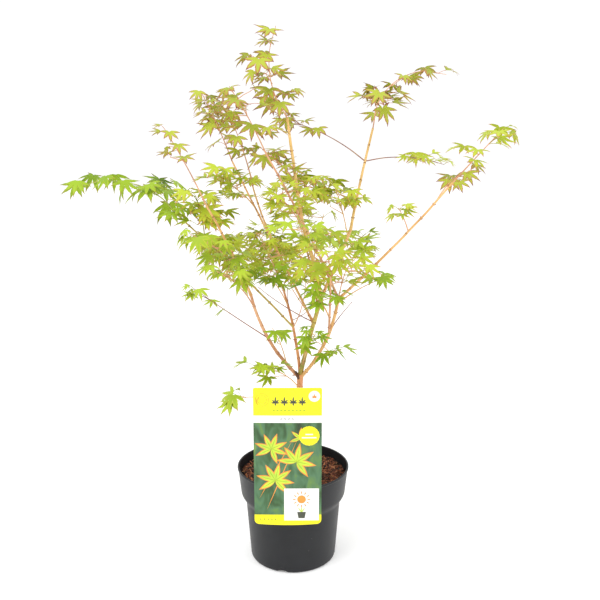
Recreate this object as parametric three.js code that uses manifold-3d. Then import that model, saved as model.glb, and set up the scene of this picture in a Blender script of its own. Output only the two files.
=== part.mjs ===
import * as THREE from "three";
import { mergeVertices } from "three/addons/utils/BufferGeometryUtils.js";
import Module from "manifold-3d";

// A young Japanese maple in a nursery pot, with its large care label hooked over the rim.
// Millimetres, +Z up, +Y away from the viewer. The origin is the centre of the pot's flat underside.

// Clearance between neighbouring pieces
const GAP = 0.3;

// Pot, an injection-moulded plastic shell with a straight collar above a shoulder
const POT_HEIGHT = 165;
const POT_RIM_RADIUS = 95;
const POT_COLLAR_FOOT_RADIUS = 89.5;
const POT_COLLAR_FOOT_HEIGHT = 116;
const POT_SHOULDER_RADIUS = 81.5;
const POT_SHOULDER_HEIGHT = 104;
const POT_BASE_RADIUS = 74;
const POT_EDGE_RADIUS = 5;
const EDGE_ROUNDING = 0.3;
const POT_WALL = 1.6;
const POT_WALL_STEP = 1;
const POT_FLOOR = 2;
const POT_FACETS = 30;
const DRAIN_COUNT = 4;
const DRAIN_RADIUS = 9;
const DRAIN_HEIGHT = 5.5;
const DRAIN_DEPTH = 16;
const DRAIN_BEARING = 256;

// Growing mix of bark and fibre, filled to a little under the rim and highest round the trunk
const SOIL_HEIGHT = 152;
const SOIL_CROWN_RADIUS = 15;
const SOIL_BEND_SHARE = 0.6;
const SOIL_BEND_DROP = 1;
const SOIL_EDGE_DROP = 3;

// Label, a printed plastic card that hangs outside the rim on a tongue pushed down inside it
const LABEL_WIDTH = 108;
const LABEL_FOOT = 106;
const LABEL_TOP = 338;
const LABEL_MIDDLE = -7.5;
const LABEL_FRONT = 98.6;
const LABEL_THICKNESS = 0.9;
const LABEL_TOP_CORNER = 3;
const LABEL_FOOT_CORNER = 7;
const TONGUE_WIDTH = 30;
const TONGUE_REACH = 9.5;
const TONGUE_FOOT = 122;
const TONGUE_LEAN = 5.5;
const TONGUE_ROOT = 4.5;

// Trunk, with a root flare at the soil and a swollen head where the boughs part
const TRUNK_LENGTH = 178;
const TRUNK_SUNK = 2;
const TRUNK_RADIUS = 4.8;
const TRUNK_FLARE = 3.4;
const TRUNK_FLARE_SHARE = 0.12;
const TRUNK_HEAD = 1.5;
const TRUNK_HEAD_SHARE = 0.05;

// Facets round each limb and along it, and along the stem of a spray
const LIMB_SIDES = 6;
const LIMB_STEPS = 6;
const STEM_STEPS = 4;
const TWIG_SIDES = 3;
const DRAIN_SIDES = 12;
const LABEL_CORNER_STEPS = 4;

// Limbs after the trunk. Each starts on the centre line of the limb it grows on, at a share of that
// limb's length. Bearing turns from +X towards +Y and rise is the angle above level, in degrees.
// Columns: name, limb it grows on, share, bearing at foot and end, rise at foot and end, length,
// diameter at foot and end.
const LIMBS = [
  ["left_bough", "trunk", 0.96, [195, 231], [46, 72], 180, [6.2, 4.6]],
  ["left_upper", "left_bough", 1, [221, 223], [66, 56], 168, [4.6, 3]],
  ["right_bough", "trunk", 0.96, [333, 302], [48, 75], 170, [6, 5]],
  ["right_outer", "right_bough", 1, [332, 329], [43, 50], 260, [4.6, 2.8]],
  ["crossing_stem", "right_bough", 1, [187, 203], [67, 59], 254, [4.2, 2.6]],
  ["leader_foot", "trunk", 1, [16, 12], [76, 73], 134, [7.6, 7]],
  ["leader", "leader_foot", 1, [223, 184], [76, 73], 126, [6.8, 6]],
  ["leader_upper", "leader", 1, [147, 146], [79, 81], 172, [6, 4]],
  ["centre_bough", "trunk", 1, [109, 121], [71, 53], 159, [5.6, 3.6]],
  ["far_left_stem", "centre_bough", 0.51, [203, 191], [48, 44], 267, [3.4, 2.4]],
  ["long_stem", "leader_foot", 0.66, [127, 151], [48, 60], 323, [4.4, 2.8]],
  ["twin_stem", "long_stem", 0.48, [152, 236], [65, 75], 127, [3.4, 2.6]],
  ["right_back", "leader_foot", 1, [63, 51], [39, 54], 142, [5.4, 5]],
  ["right_back_upper", "right_back", 1, [67, 38], [64, 73], 185, [5, 3.8]],
  ["back_bough", "leader_foot", 0.83, [89, 106], [21, 38], 177, [4, 3]],
  ["front_bough", "right_bough", 0.62, [269, 269], [37, 61], 149, [4, 2.6]],
];

// Sprays of foliage. Each has one stem, placed as a limb is, with pairs of side growths along it.
// Columns: name, limb it grows on, share, bearing at foot and end, rise at foot and end, length,
// pairs, bare share of the stem before the first pair, length of a leaf's middle lobe, seed.
const SPRAYS = [
  ["left_top", "left_upper", 1, [212, 212], [65, 57], 128, 3, 0.5, 25, 15],
  ["far_left", "far_left_stem", 1, [193, 188], [58, -26], 184, 6, 0.03, 38, 30],
  ["leader_top", "leader_upper", 1, [181, 181], [53, 113], 146, 7, 0.06, 32, 40],
  ["high_left", "long_stem", 1, [154, 154], [67, 59], 135, 5, 0.15, 33, 57],
  ["high_middle", "twin_stem", 1, [205, 205], [75, 65], 112, 4, 0.3, 32, 21],
  ["right_back_top", "right_back_upper", 1, [5, -5], [93, -21], 181, 6, 0.05, 33, 52],
  ["left_arch", "right_back_upper", 0.68, [211, 209], [35, 15], 157, 2, 0.62, 31, 2],
  ["right_arch", "right_back_upper", 0.68, [353, 350], [14, -18], 138, 2, 0.5, 31, 31],
  ["right_tip", "right_outer", 1, [336, 339], [49, 48], 99, 4, 0.3, 29, 9],
  ["crossing_top", "crossing_stem", 1, [195, 195], [66, 56], 110, 4, 0.3, 32, 51],
  ["low_left_twig", "left_bough", 0.53, [206, 216], [36, 38], 163, 3, 0.42, 27, 9],
  ["left_shoulder", "far_left_stem", 0.8, [261, 261], [74, 44], 88, 3, 0.3, 37, 44],
  ["left_mid", "left_upper", 0.2, [234, 234], [50, 20], 143, 4, 0.3, 38, 32],
  ["left_low", "left_bough", 0.85, [246, 246], [50, 20], 136, 3, 0.3, 38, 31],
  ["centre_back_left", "centre_bough", 1, [123, 123], [56, 30], 121, 4, 0.2, 36, 31],
  ["centre_left", "centre_bough", 0.87, [245, 245], [60, 40], 132, 4, 0.35, 36, 37],
  ["leader_left", "leader_upper", 0.41, [146, 146], [47, 27], 84, 3, 0.35, 33, 10],
  ["leader_front", "leader", 0.95, [237, 237], [49, 29], 101, 3, 0.3, 34, 18],
  ["leader_right", "leader_upper", 0.2, [56, 56], [54, 24], 64, 4, 0.3, 34, 51],
  ["centre_right", "leader", 0.5, [73, 73], [62, 36], 97, 4, 0.3, 35, 30],
  ["right_back_mid", "right_back", 0.9, [114, 114], [69, 43], 110, 4, 0.3, 35, 10],
  ["right_back_low", "right_back", 0.46, [46, 46], [44, 18], 97, 3, 0.3, 35, 18],
  ["high_side", "long_stem", 0.72, [224, 224], [48, 14], 109, 4, 0.2, 34, 23],
  ["right_front", "right_bough", 1, [277, 277], [52, 28], 104, 3, 0.3, 34, 12],
  ["crossing_side", "crossing_stem", 0.35, [251, 251], [41, 17], 88, 3, 0.3, 34, 25],
  ["right_twig", "right_bough", 0.95, [15, 15], [36, 16], 85, 1, 0.9, 34, 42],
  ["low_right", "right_bough", 0.3, [319, 319], [36, 12], 57, 3, 0.35, 34, 21],
  ["low_centre", "leader_foot", 0.1, [284, 284], [55, 31], 115, 4, 0.25, 34, 11],
  ["low_left", "left_bough", 0.2, [251, 251], [62, 38], 103, 2, 0.45, 34, 12],
  ["low_front", "trunk", 0.86, [207, 207], [54, 4], 103, 3, 0.35, 36, 9],
  ["right_mid", "right_outer", 0.86, [39, 39], [51, 17], 72, 3, 0.3, 33, 20],
  ["right_low", "right_outer", 0.62, [244, 244], [49, 29], 63, 2, 0.4, 26, 35],
  ["back_top", "back_bough", 1, [114, 114], [59, 35], 146, 4, 0.2, 36, 57],
  ["back_side", "back_bough", 0.95, [50, 50], [29, -1], 93, 3, 0.3, 36, 14],
  ["back_left", "back_bough", 0.51, [125, 125], [29, -5], 141, 4, 0.3, 36, 7],
  ["front_top", "front_bough", 1, [262, 262], [51, 17], 86, 4, 0.15, 36, 5],
  ["front_left", "front_bough", 0.35, [223, 223], [64, 30], 81, 5, 0.15, 36, 46],
  ["left_inner", "far_left_stem", 0.45, [131, 131], [49, 15], 107, 4, 0.3, 38, 32],
  ["centre_low", "centre_bough", 0.75, [250, 250], [46, 26], 141, 3, 0.4, 36, 58],
  ["low_side", "trunk", 0.5, [214, 214], [59, -1], 151, 1, 0.8, 42, 43],
];

// Stem and side twigs of a spray, diameters at foot and end
const STEM_ACROSS = [2.8, 2];
const TWIG_ACROSS = [1.9, 1.8];
const TWIG_LENGTH = [20, 36];
const TWIG_RISE = [0, 30];
const TWIG_CHANCE = 0.16;
const SIDE_SWING = [50, 85];
const END_PAIR_SHARE = 0.92;
const END_SWING = 50;
const END_LEAF = 0.7;
const LEAF_SIZES = [0.85, 1.15];

// Leaves: a stalk, then lobes round a hub, whose tips hang like the ribs of an umbrella
const STALK_SHARE = [0.45, 0.75];
const STALK_RISE = [5, 40];
const STALK_RADIUS = 0.5;
const BLADE_DROOP = [15, 60];
const BLADE_ROLL = 22;
const HUB_THICKNESS = 1.1;
const HUB_HALF_WIDTH = 0.8;
const HUB_BACK = 1.8;
const NOTCH_REACH = 0.4;
const LOBE_CHECKS = [0.35, 0.7, 1];
const STALK_CHECKS = [0.5, 0.8];
const TIP_SHRINK = 0.25;
const LOBES = [
  { turn: 0, reach: 1, hang: 8 },
  { turn: 37, reach: 0.97, hang: 11 },
  { turn: 75, reach: 0.82, hang: 14 },
  { turn: 120, reach: 0.42, hang: 16 },
];
const YOUNG_LEAF = 33;
const YOUNG_LOBES = 3;

// A leaf turns aside a few times before it is given up, and keeps off limbs, leaves and other sprays
const LEAF_TRIES = 5;
const TURN_ASIDE = 28;
const LIMB_CLEARANCE = 1.4;
const SPRAY_CLEARANCE = 1.2;
const LOBE_HALF_WIDTH = 3;
const LEAF_CLEARANCE = 1;
const LABEL_CLEARANCE = 4;

const wasm = await Module();
wasm.setup();

const plastic = new THREE.MeshStandardMaterial({ color: 0x2b2c2e, roughness: 0.45, metalness: 0 });
const bark = new THREE.MeshStandardMaterial({ color: 0xd99a5c, roughness: 0.7, metalness: 0 });
const compost = new THREE.MeshStandardMaterial({ color: 0x5a3322, roughness: 1, metalness: 0 });
const card = new THREE.MeshStandardMaterial({ color: 0xf2e91e, roughness: 0.35, metalness: 0 });
const foliage = new THREE.MeshStandardMaterial({ color: 0xa3c73a, roughness: 0.6, metalness: 0 });

const maple = new THREE.Group();

// Solids for cutting and joining
function solid(geometry) {
  const bare = geometry.index ? geometry.toNonIndexed() : geometry.clone();
  bare.deleteAttribute("normal");
  bare.deleteAttribute("uv");
  const merged = mergeVertices(bare, 1e-4);
  return new wasm.Manifold(
    new wasm.Mesh({
      numProp: 3,
      vertProperties: merged.attributes.position.array,
      triVerts: new Uint32Array(merged.index.array),
    }),
  );
}

// The largest body of a solid, without the scraps that a cut leaves loose
function mainBody(shape) {
  const bodies = shape.decompose();
  bodies.sort((a, b) => b.volume() - a.volume());
  return bodies[0];
}

function addPiece(name, shape, material) {
  const made = shape.getMesh();
  const geometry = new THREE.BufferGeometry();
  geometry.setAttribute("position", new THREE.BufferAttribute(made.vertProperties, 3));
  geometry.setIndex(new THREE.BufferAttribute(made.triVerts, 1));
  geometry.computeVertexNormals();
  const mesh = new THREE.Mesh(geometry, material);
  mesh.name = name;
  maple.add(mesh);
}

// A surface of revolution about +Z from pairs of radius and height
function turned(profile, facets) {
  const points = profile.map(([radius, height]) => new THREE.Vector2(radius, height));
  return new THREE.LatheGeometry(points, facets).rotateX(Math.PI / 2);
}

function pot() {
  const edge = POT_EDGE_RADIUS;
  const shell = solid(
    turned(
      [
        [0, 0],
        [POT_BASE_RADIUS - edge, 0],
        [POT_BASE_RADIUS - edge * EDGE_ROUNDING, edge * EDGE_ROUNDING],
        [POT_BASE_RADIUS, edge],
        [POT_SHOULDER_RADIUS, POT_SHOULDER_HEIGHT],
        [POT_COLLAR_FOOT_RADIUS, POT_COLLAR_FOOT_HEIGHT],
        [POT_RIM_RADIUS, POT_HEIGHT],
        [POT_RIM_RADIUS - POT_WALL, POT_HEIGHT],
        [POT_COLLAR_FOOT_RADIUS - POT_WALL, POT_COLLAR_FOOT_HEIGHT + POT_WALL_STEP],
        [POT_SHOULDER_RADIUS - POT_WALL, POT_SHOULDER_HEIGHT + POT_WALL_STEP],
        [POT_BASE_RADIUS - POT_WALL, edge],
        [POT_BASE_RADIUS - edge, POT_FLOOR],
        [0, POT_FLOOR],
      ],
      POT_FACETS,
    ),
  );
  // Drain notches: arches cut through the bottom edge, with their axes pointing outwards
  let cut = shell;
  for (let i = 0; i < DRAIN_COUNT; i++) {
    const arch = new THREE.CylinderGeometry(DRAIN_RADIUS, DRAIN_RADIUS, DRAIN_DEPTH, DRAIN_SIDES)
      .rotateZ(Math.PI / 2)
      .translate(POT_BASE_RADIUS, 0, DRAIN_HEIGHT - DRAIN_RADIUS)
      .rotateZ(THREE.MathUtils.degToRad(DRAIN_BEARING + (i * 360) / DRAIN_COUNT));
    cut = cut.subtract(solid(arch));
  }
  addPiece("pot", cut, plastic);
}

function soil() {
  const inset = POT_WALL + GAP;
  const top = SOIL_HEIGHT - SOIL_EDGE_DROP;
  const collarRise = (top - POT_COLLAR_FOOT_HEIGHT) / (POT_HEIGHT - POT_COLLAR_FOOT_HEIGHT);
  const topRadius = THREE.MathUtils.lerp(POT_COLLAR_FOOT_RADIUS, POT_RIM_RADIUS, collarRise) - inset;
  const filling = solid(
    turned(
      [
        [0, POT_FLOOR + GAP],
        [POT_BASE_RADIUS - POT_EDGE_RADIUS - GAP, POT_FLOOR + GAP],
        [POT_BASE_RADIUS - inset - GAP, POT_EDGE_RADIUS + GAP],
        [POT_SHOULDER_RADIUS - inset, POT_SHOULDER_HEIGHT + POT_WALL_STEP],
        [POT_COLLAR_FOOT_RADIUS - inset, POT_COLLAR_FOOT_HEIGHT + POT_WALL_STEP + GAP],
        [topRadius, top],
        [topRadius * SOIL_BEND_SHARE, SOIL_HEIGHT - SOIL_BEND_DROP],
        [SOIL_CROWN_RADIUS, SOIL_HEIGHT],
        [0, SOIL_HEIGHT],
      ],
      POT_FACETS,
    ),
  );
  // Slot that the label's tongue is pushed down into
  const slotBack = LABEL_FRONT - TONGUE_REACH - TONGUE_LEAN - LABEL_THICKNESS - GAP;
  const slot = new THREE.BoxGeometry(TONGUE_WIDTH + 2 * GAP, POT_RIM_RADIUS, POT_HEIGHT).translate(
    LABEL_MIDDLE,
    -slotBack - POT_RIM_RADIUS / 2,
    TONGUE_FOOT - GAP + POT_HEIGHT / 2,
  );
  addPiece("soil", filling.subtract(solid(slot)), compost);
}

function label() {
  const half = LABEL_WIDTH / 2;
  const [low, high] = [LABEL_FOOT, LABEL_TOP];
  const [round, nip] = [LABEL_FOOT_CORNER, LABEL_TOP_CORNER];
  const outline = new THREE.Shape();
  outline.moveTo(-half + round, low);
  outline.lineTo(half - round, low);
  outline.quadraticCurveTo(half, low, half, low + round);
  outline.lineTo(half, high - nip);
  outline.quadraticCurveTo(half, high, half - nip, high);
  outline.lineTo(-half + nip, high);
  outline.quadraticCurveTo(-half, high, -half, high - nip);
  outline.lineTo(-half, low + round);
  outline.quadraticCurveTo(-half, low, -half + round, low);
  const front = new THREE.ExtrudeGeometry(outline, {
    depth: LABEL_THICKNESS,
    bevelEnabled: false,
    curveSegments: LABEL_CORNER_STEPS,
  })
    .rotateX(Math.PI / 2)
    .translate(LABEL_MIDDLE, -LABEL_FRONT + LABEL_THICKNESS, 0);
  // The tongue leaves the card above the rim, crosses it and leans inwards down its inner side
  const over = POT_HEIGHT + GAP;
  const inner = TONGUE_REACH - LABEL_THICKNESS;
  const hook = new THREE.Shape([
    new THREE.Vector2(0, over),
    new THREE.Vector2(inner, over),
    new THREE.Vector2(inner + TONGUE_LEAN, TONGUE_FOOT),
    new THREE.Vector2(TONGUE_REACH + TONGUE_LEAN, TONGUE_FOOT),
    new THREE.Vector2(TONGUE_REACH, over + LABEL_THICKNESS * 2),
    new THREE.Vector2(0, over + TONGUE_ROOT),
  ]);
  // The hook's profile lies in the plane of Y and Z, and its width along X
  const [along, up, across] = [1, 2, 0].map((axis) => new THREE.Vector3().setComponent(axis, 1));
  const tongue = new THREE.ExtrudeGeometry(hook, { depth: TONGUE_WIDTH, bevelEnabled: false })
    .applyMatrix4(new THREE.Matrix4().makeBasis(along, up, across))
    .translate(LABEL_MIDDLE - TONGUE_WIDTH / 2, LABEL_THICKNESS / 2 - LABEL_FRONT, 0);
  addPiece("label", solid(front).add(solid(tongue)), card);
}

// The same draws each time, in a fixed order, from one whole number
function seeded(seed) {
  let state = seed;
  return () => {
    state = (Math.imul(state, 1664525) + 1013904223) >>> 0;
    return state / 4294967296;
  };
}

const between = ([from, to], share) => from + (to - from) * share;

function direction(bearing, rise) {
  const [turn, lift] = [THREE.MathUtils.degToRad(bearing), THREE.MathUtils.degToRad(rise)];
  return new THREE.Vector3(Math.cos(lift) * Math.cos(turn), Math.cos(lift) * Math.sin(turn), Math.sin(lift));
}

// The line of a limb or twig whose bearing and rise change evenly from its foot to its end
function course(start, shape, steps) {
  const points = [start.clone()];
  for (let step = 0; step < steps; step++) {
    const share = (step + 0.5) / steps;
    const heading = direction(between(shape.bearing, share), between(shape.rise, share));
    points.push(points[step].clone().addScaledVector(heading, shape.length / steps));
  }
  return points;
}

function pointAlong(points, share) {
  const place = share * (points.length - 1);
  const step = Math.min(Math.floor(place), points.length - 2);
  return points[step].clone().lerp(points[step + 1], place - step);
}

// A closed tube round a course, longer at both ends and thicker by the allowance
function tube(points, shape, radiusAt, sides, allowance = 0) {
  const geometry = new THREE.CylinderGeometry(1, 1, 1, sides, points.length - 1);
  const position = geometry.attributes.position;
  const corner = Math.cos(Math.PI / sides);
  for (let i = 0; i < position.count; i++) {
    const share = THREE.MathUtils.clamp(position.getY(i) + 0.5, 0, 1);
    const bearing = between(shape.bearing, share);
    const heading = direction(bearing, between(shape.rise, share));
    const side = direction(bearing + 90, 0);
    const normal = heading.clone().cross(side);
    const radius = radiusAt(share) + allowance / corner;
    const end = share < 0.001 ? -allowance : share > 0.999 ? allowance : 0;
    const place = pointAlong(points, share)
      .addScaledVector(side, position.getX(i) * radius)
      .addScaledVector(normal, -position.getZ(i) * radius)
      .addScaledVector(heading, end);
    position.setXYZ(i, place.x, place.y, place.z);
  }
  return solid(geometry);
}

const limbs = new Map();

function addLimb(name, start, shape, radiusAt, ground = []) {
  const points = course(start, shape, LIMB_STEPS);
  let shapeSolid = tube(points, shape, radiusAt, LIMB_SIDES);
  // A limb is cut back where it comes out of limbs that were there before it
  const hulls = [...limbs.values()].map((other) => other.hull);
  for (const cut of [...ground, ...hulls]) shapeSolid = shapeSolid.subtract(cut);
  addPiece(name, mainBody(shapeSolid), bark);
  const hull = tube(points, shape, radiusAt, LIMB_SIDES, GAP);
  limbs.set(name, { points, hull, radius: Math.max(radiusAt(0.3), radiusAt(0)) });
}

function trunk() {
  // It starts a little under the surface of the soil, and is cut off flat there
  const foot = SOIL_HEIGHT + GAP;
  const ground = new THREE.BoxGeometry(POT_RIM_RADIUS, POT_RIM_RADIUS, foot).translate(0, 0, foot / 2);
  const start = new THREE.Vector3(0, 0, foot - TRUNK_SUNK);
  const shape = { bearing: [0, 0], rise: [84, 88], length: TRUNK_LENGTH };
  const radiusAt = (share) =>
    TRUNK_RADIUS +
    TRUNK_FLARE * Math.exp(-share / TRUNK_FLARE_SHARE) +
    TRUNK_HEAD * Math.exp((share - 1) / TRUNK_HEAD_SHARE);
  addLimb("trunk", start, shape, radiusAt, [solid(ground)]);
}

function boughs() {
  for (const [name, parent, at, bearing, rise, length, across] of LIMBS) {
    const start = pointAlong(limbs.get(parent).points, at);
    addLimb(name, start, { bearing, rise, length }, (share) => between(across, share) / 2);
  }
}

// Distance from a point to a line of points
function distanceTo(points, place) {
  let least = Infinity;
  const segment = new THREE.Line3();
  const nearest = new THREE.Vector3();
  for (let i = 1; i < points.length; i++) {
    segment.set(points[i - 1], points[i]).closestPointToPoint(place, true, nearest);
    least = Math.min(least, nearest.distanceTo(place));
  }
  return least;
}

// Where a leaf lies: its stalk's root, its hub, and the directions of its blade
function leafPose(root, bearing, size, draws) {
  const [aside, lift, stalk, droop, roll] = draws;
  const heading = bearing + TURN_ASIDE * (2 * aside - 1);
  const stalkLength = size * between(STALK_SHARE, stalk);
  const hub = root.clone().addScaledVector(direction(heading, between(STALK_RISE, lift)), stalkLength);
  const forward = direction(heading, -between(BLADE_DROOP, droop));
  const tilt = THREE.MathUtils.degToRad(BLADE_ROLL * (2 * roll - 1));
  const side = direction(heading + 90, 0).applyAxisAngle(forward, tilt);
  const normal = forward.clone().cross(side);
  return { root, hub, forward, side, normal, size };
}

// A point of the blade at a turn from its middle lobe, at a reach from the hub, hanging under it
function bladePoint({ hub, forward, side, normal }, turn, reach, hang) {
  const [angle, fall] = [THREE.MathUtils.degToRad(turn), THREE.MathUtils.degToRad(hang)];
  return hub
    .clone()
    .addScaledVector(forward, reach * Math.cos(fall) * Math.cos(angle))
    .addScaledVector(side, reach * Math.cos(fall) * Math.sin(angle))
    .addScaledVector(normal, -reach * Math.sin(fall));
}

// Lobes from the right of the stalk round to its left
function lobesOf(size) {
  const kinds = size < YOUNG_LEAF ? LOBES.slice(0, YOUNG_LOBES) : LOBES;
  const right = kinds.slice(1).reverse();
  return [...right.map((lobe) => ({ ...lobe, turn: -lobe.turn })), ...kinds];
}

// A leaf as one closed solid, thickest at its hub, with a three-sided stalk
function leafSolid(leaf) {
  const { root, hub, forward, side, normal, size } = leaf;
  const lobes = lobesOf(size);
  const back = hub.clone().addScaledVector(forward, -HUB_BACK);
  const outline = [back.clone().addScaledVector(side, -HUB_HALF_WIDTH)];
  lobes.forEach((lobe, i) => {
    if (i > 0) {
      const turn = (lobes[i - 1].turn + lobe.turn) / 2;
      const reach = NOTCH_REACH * size * Math.min(lobes[i - 1].reach, lobe.reach) ** 0.5;
      outline.push(bladePoint(leaf, turn, reach, lobe.hang / 2));
    }
    outline.push(bladePoint(leaf, lobe.turn, lobe.reach * size, lobe.hang));
  });
  outline.push(back.clone().addScaledVector(side, HUB_HALF_WIDTH));
  const stalk = hub.clone().sub(root).normalize();
  const across = side.clone();
  const under = stalk.clone().cross(across).negate();
  const corners = [
    ...outline,
    hub.clone().addScaledVector(normal, HUB_THICKNESS / 2),
    hub.clone().addScaledVector(normal, -HUB_THICKNESS / 2),
    root.clone().addScaledVector(across, -STALK_RADIUS),
    root.clone().addScaledVector(across, STALK_RADIUS),
    root.clone().addScaledVector(under, STALK_RADIUS),
  ];
  const last = outline.length - 1;
  const [top, bottom, rootRight, rootLeft, rootUnder] = [1, 2, 3, 4, 5].map((step) => last + step);
  const faces = [];
  for (let i = 0; i < last; i++) faces.push([top, i, i + 1], [bottom, i + 1, i]);
  faces.push(
    [top, last, 0],
    [0, last, rootLeft],
    [0, rootLeft, rootRight],
    [bottom, 0, rootRight],
    [bottom, rootRight, rootUnder],
    [last, bottom, rootUnder],
    [last, rootUnder, rootLeft],
    [rootRight, rootLeft, rootUnder],
  );
  const geometry = new THREE.BufferGeometry().setFromPoints(corners).setIndex(faces.flat());
  return solid(geometry);
}

// Places on a leaf that have to be clear, each with the half width of the leaf there
function leafPlaces(leaf) {
  const places = [[leaf.hub, LOBE_HALF_WIDTH]];
  for (const share of STALK_CHECKS) places.push([leaf.root.clone().lerp(leaf.hub, share), STALK_RADIUS]);
  for (const lobe of lobesOf(leaf.size)) {
    for (const share of LOBE_CHECKS) {
      const width = share < 1 ? LOBE_HALF_WIDTH : 0;
      places.push([bladePoint(leaf, lobe.turn, lobe.reach * leaf.size * share, lobe.hang), width]);
    }
  }
  return places;
}

function nearLabel(place) {
  const across = Math.abs(place.x - LABEL_MIDDLE) < LABEL_WIDTH / 2 + LABEL_CLEARANCE;
  return across && place.z < LABEL_TOP + LABEL_CLEARANCE && place.y < LABEL_CLEARANCE - LABEL_FRONT / 2;
}

// A leaf is kept only where it is clear of limbs and nearer its own spray's stem than any other's
function leafFits(leaf, own, taken, stems) {
  return leafPlaces(leaf).every(([place, width]) => {
    if (nearLabel(place)) return false;
    const room = width + LEAF_CLEARANCE;
    if (taken.some(([spot, girth]) => spot.distanceTo(place) < room + girth)) return false;
    for (const limb of limbs.values()) {
      if (distanceTo(limb.points, place) < limb.radius + width + LIMB_CLEARANCE) return false;
    }
    const home = distanceTo(own, place) + width + SPRAY_CLEARANCE;
    return stems.every((stem) => stem === own || distanceTo(stem, place) > home);
  });
}

// Twigs and leaves of one spray: a pair of side growths at each node, and a pair and a young leaf
// at the end of the stem and of each twig. All draws are made before a leaf is tried.
function growSpray(stem, spray, stems) {
  const random = seeded(spray.seed);
  const grown = { leaves: [], twigs: [] };
  const taken = [];
  const tryLeaf = (root, bearing, size) => {
    const draws = Array.from({ length: LEAF_TRIES }, () => Array.from({ length: 5 }, random));
    for (const draw of draws) {
      const leaf = leafPose(root, bearing, size, draw);
      if (!leafFits(leaf, stem, taken, stems)) continue;
      taken.push(...leafPlaces(leaf));
      grown.leaves.push(leaf);
      return true;
    }
    return false;
  };
  const tryEnd = (line, bearing, size) => {
    const pair = pointAlong(line, END_PAIR_SHARE);
    const right = tryLeaf(pair, bearing - END_SWING, size);
    const left = tryLeaf(pair, bearing + END_SWING, size);
    const middle = tryLeaf(line[line.length - 1], bearing, size * END_LEAF);
    return right || left || middle;
  };
  for (let pair = 0; pair < spray.pairs; pair++) {
    const share = between([spray.bare, 1], (pair + 0.5) / spray.pairs);
    const node = pointAlong(stem, share);
    for (const hand of [-1, 1]) {
      const [swing, growth, fork, reach, lift] = Array.from({ length: 5 }, random);
      const bearing = between(spray.bearing, share) + hand * between(SIDE_SWING, swing);
      const size = spray.lobe * between(LEAF_SIZES, growth) * (1 - TIP_SHRINK * share);
      if (fork < TWIG_CHANCE) {
        const rise = between(TWIG_RISE, lift);
        const twig = { bearing: [bearing, bearing], rise: [rise, rise], length: between(TWIG_LENGTH, reach) };
        const line = course(node, twig, 1);
        if (tryEnd(line, bearing, size)) grown.twigs.push({ line, twig });
      } else {
        tryLeaf(node, bearing, size);
      }
    }
  }
  tryEnd(stem, spray.bearing[1], spray.lobe * (1 - TIP_SHRINK));
  return grown;
}

function spraySolid(stem, spray, grown) {
  const stemRadius = (share) => between(STEM_ACROSS, share) / 2;
  const twigRadius = (share) => between(TWIG_ACROSS, share) / 2;
  let whole = tube(stem, spray, stemRadius, TWIG_SIDES);
  for (const limb of limbs.values()) whole = whole.subtract(limb.hull);
  whole = mainBody(whole);
  for (const { line, twig } of grown.twigs) whole = whole.add(tube(line, twig, twigRadius, TWIG_SIDES));
  for (const leaf of grown.leaves) whole = whole.add(leafSolid(leaf));
  return mainBody(whole);
}

function sprays() {
  const kinds = SPRAYS.map(([name, on, at, bearing, rise, length, pairs, bare, lobe, seed]) => ({
    name,
    start: pointAlong(limbs.get(on).points, at),
    ...{ bearing, rise, length, pairs, bare, lobe, seed },
  }));
  const stems = kinds.map((spray) => course(spray.start, spray, STEM_STEPS));
  kinds.forEach((spray, i) => {
    const grown = growSpray(stems[i], spray, stems);
    addPiece("spray_" + spray.name, spraySolid(stems[i], spray, grown), foliage);
  });
}

pot();
soil();
label();
trunk();
boughs();
sprays();

export default maple;
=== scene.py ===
import math

import bmesh
import bpy
import numpy
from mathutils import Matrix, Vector, noise


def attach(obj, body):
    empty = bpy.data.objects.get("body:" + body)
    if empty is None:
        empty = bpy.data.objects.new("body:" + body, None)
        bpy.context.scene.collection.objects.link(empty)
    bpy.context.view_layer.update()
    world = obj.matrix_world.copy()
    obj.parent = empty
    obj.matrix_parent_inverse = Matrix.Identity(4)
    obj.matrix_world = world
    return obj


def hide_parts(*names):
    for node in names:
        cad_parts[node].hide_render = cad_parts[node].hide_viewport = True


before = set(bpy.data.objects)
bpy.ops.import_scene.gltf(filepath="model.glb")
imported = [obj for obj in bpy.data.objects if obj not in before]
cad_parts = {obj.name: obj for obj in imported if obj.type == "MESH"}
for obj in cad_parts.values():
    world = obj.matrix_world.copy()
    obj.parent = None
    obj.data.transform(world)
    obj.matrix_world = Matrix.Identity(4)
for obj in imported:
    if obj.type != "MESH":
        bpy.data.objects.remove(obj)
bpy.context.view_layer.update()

# The pot is a black nursery container, 19 cm over its rolled rim, injection moulded in
# polypropylene. Its wall is one turned profile with a stepped collar, rounded at its foot,
# shoulder and rim, and four drain arches are cut through its bottom edge.
MM = 0.001
POT_STEPS = 144
# Radius and height of each corner: under the foot, up the outside, over the rim, down inside
POT_CORNERS = [
    (0, 1.2), (57, 1.2), (59, 0), (73.6, 0), (74.55, 12.5), (75.42, 24), (78.08, 59),
    (81.5, 104), (89.5, 116), (94.5, 161), (95.7, 162),
    (95.7, 165), (92.7, 165), (92.8, 160), (87.9, 117), (79.9, 105), (72.4, 5), (68, 2), (0, 2),
]
# Radius and height of each corner that is rounded, then the width and segments of its rounding
POT_ROUNDINGS = [
    (73.6, 0, 4.5, 5), (81.5, 104, 4, 4), (89.5, 116, 4, 4), (95.7, 162, 0.5, 2),
    (95.7, 165, 1.2, 4), (92.7, 165, 1.2, 4), (87.9, 117, 3, 3), (79.9, 105, 3, 3),
]
DRAIN_RADIUS, DRAIN_SIDES = 13.6, 40
DRAIN_MIDDLE, DRAIN_DEPTH = 74, 16
DRAIN_AXIS_HEIGHT = -8.2
DRAIN_BEARINGS = [256, 346, 76, 166]


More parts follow.
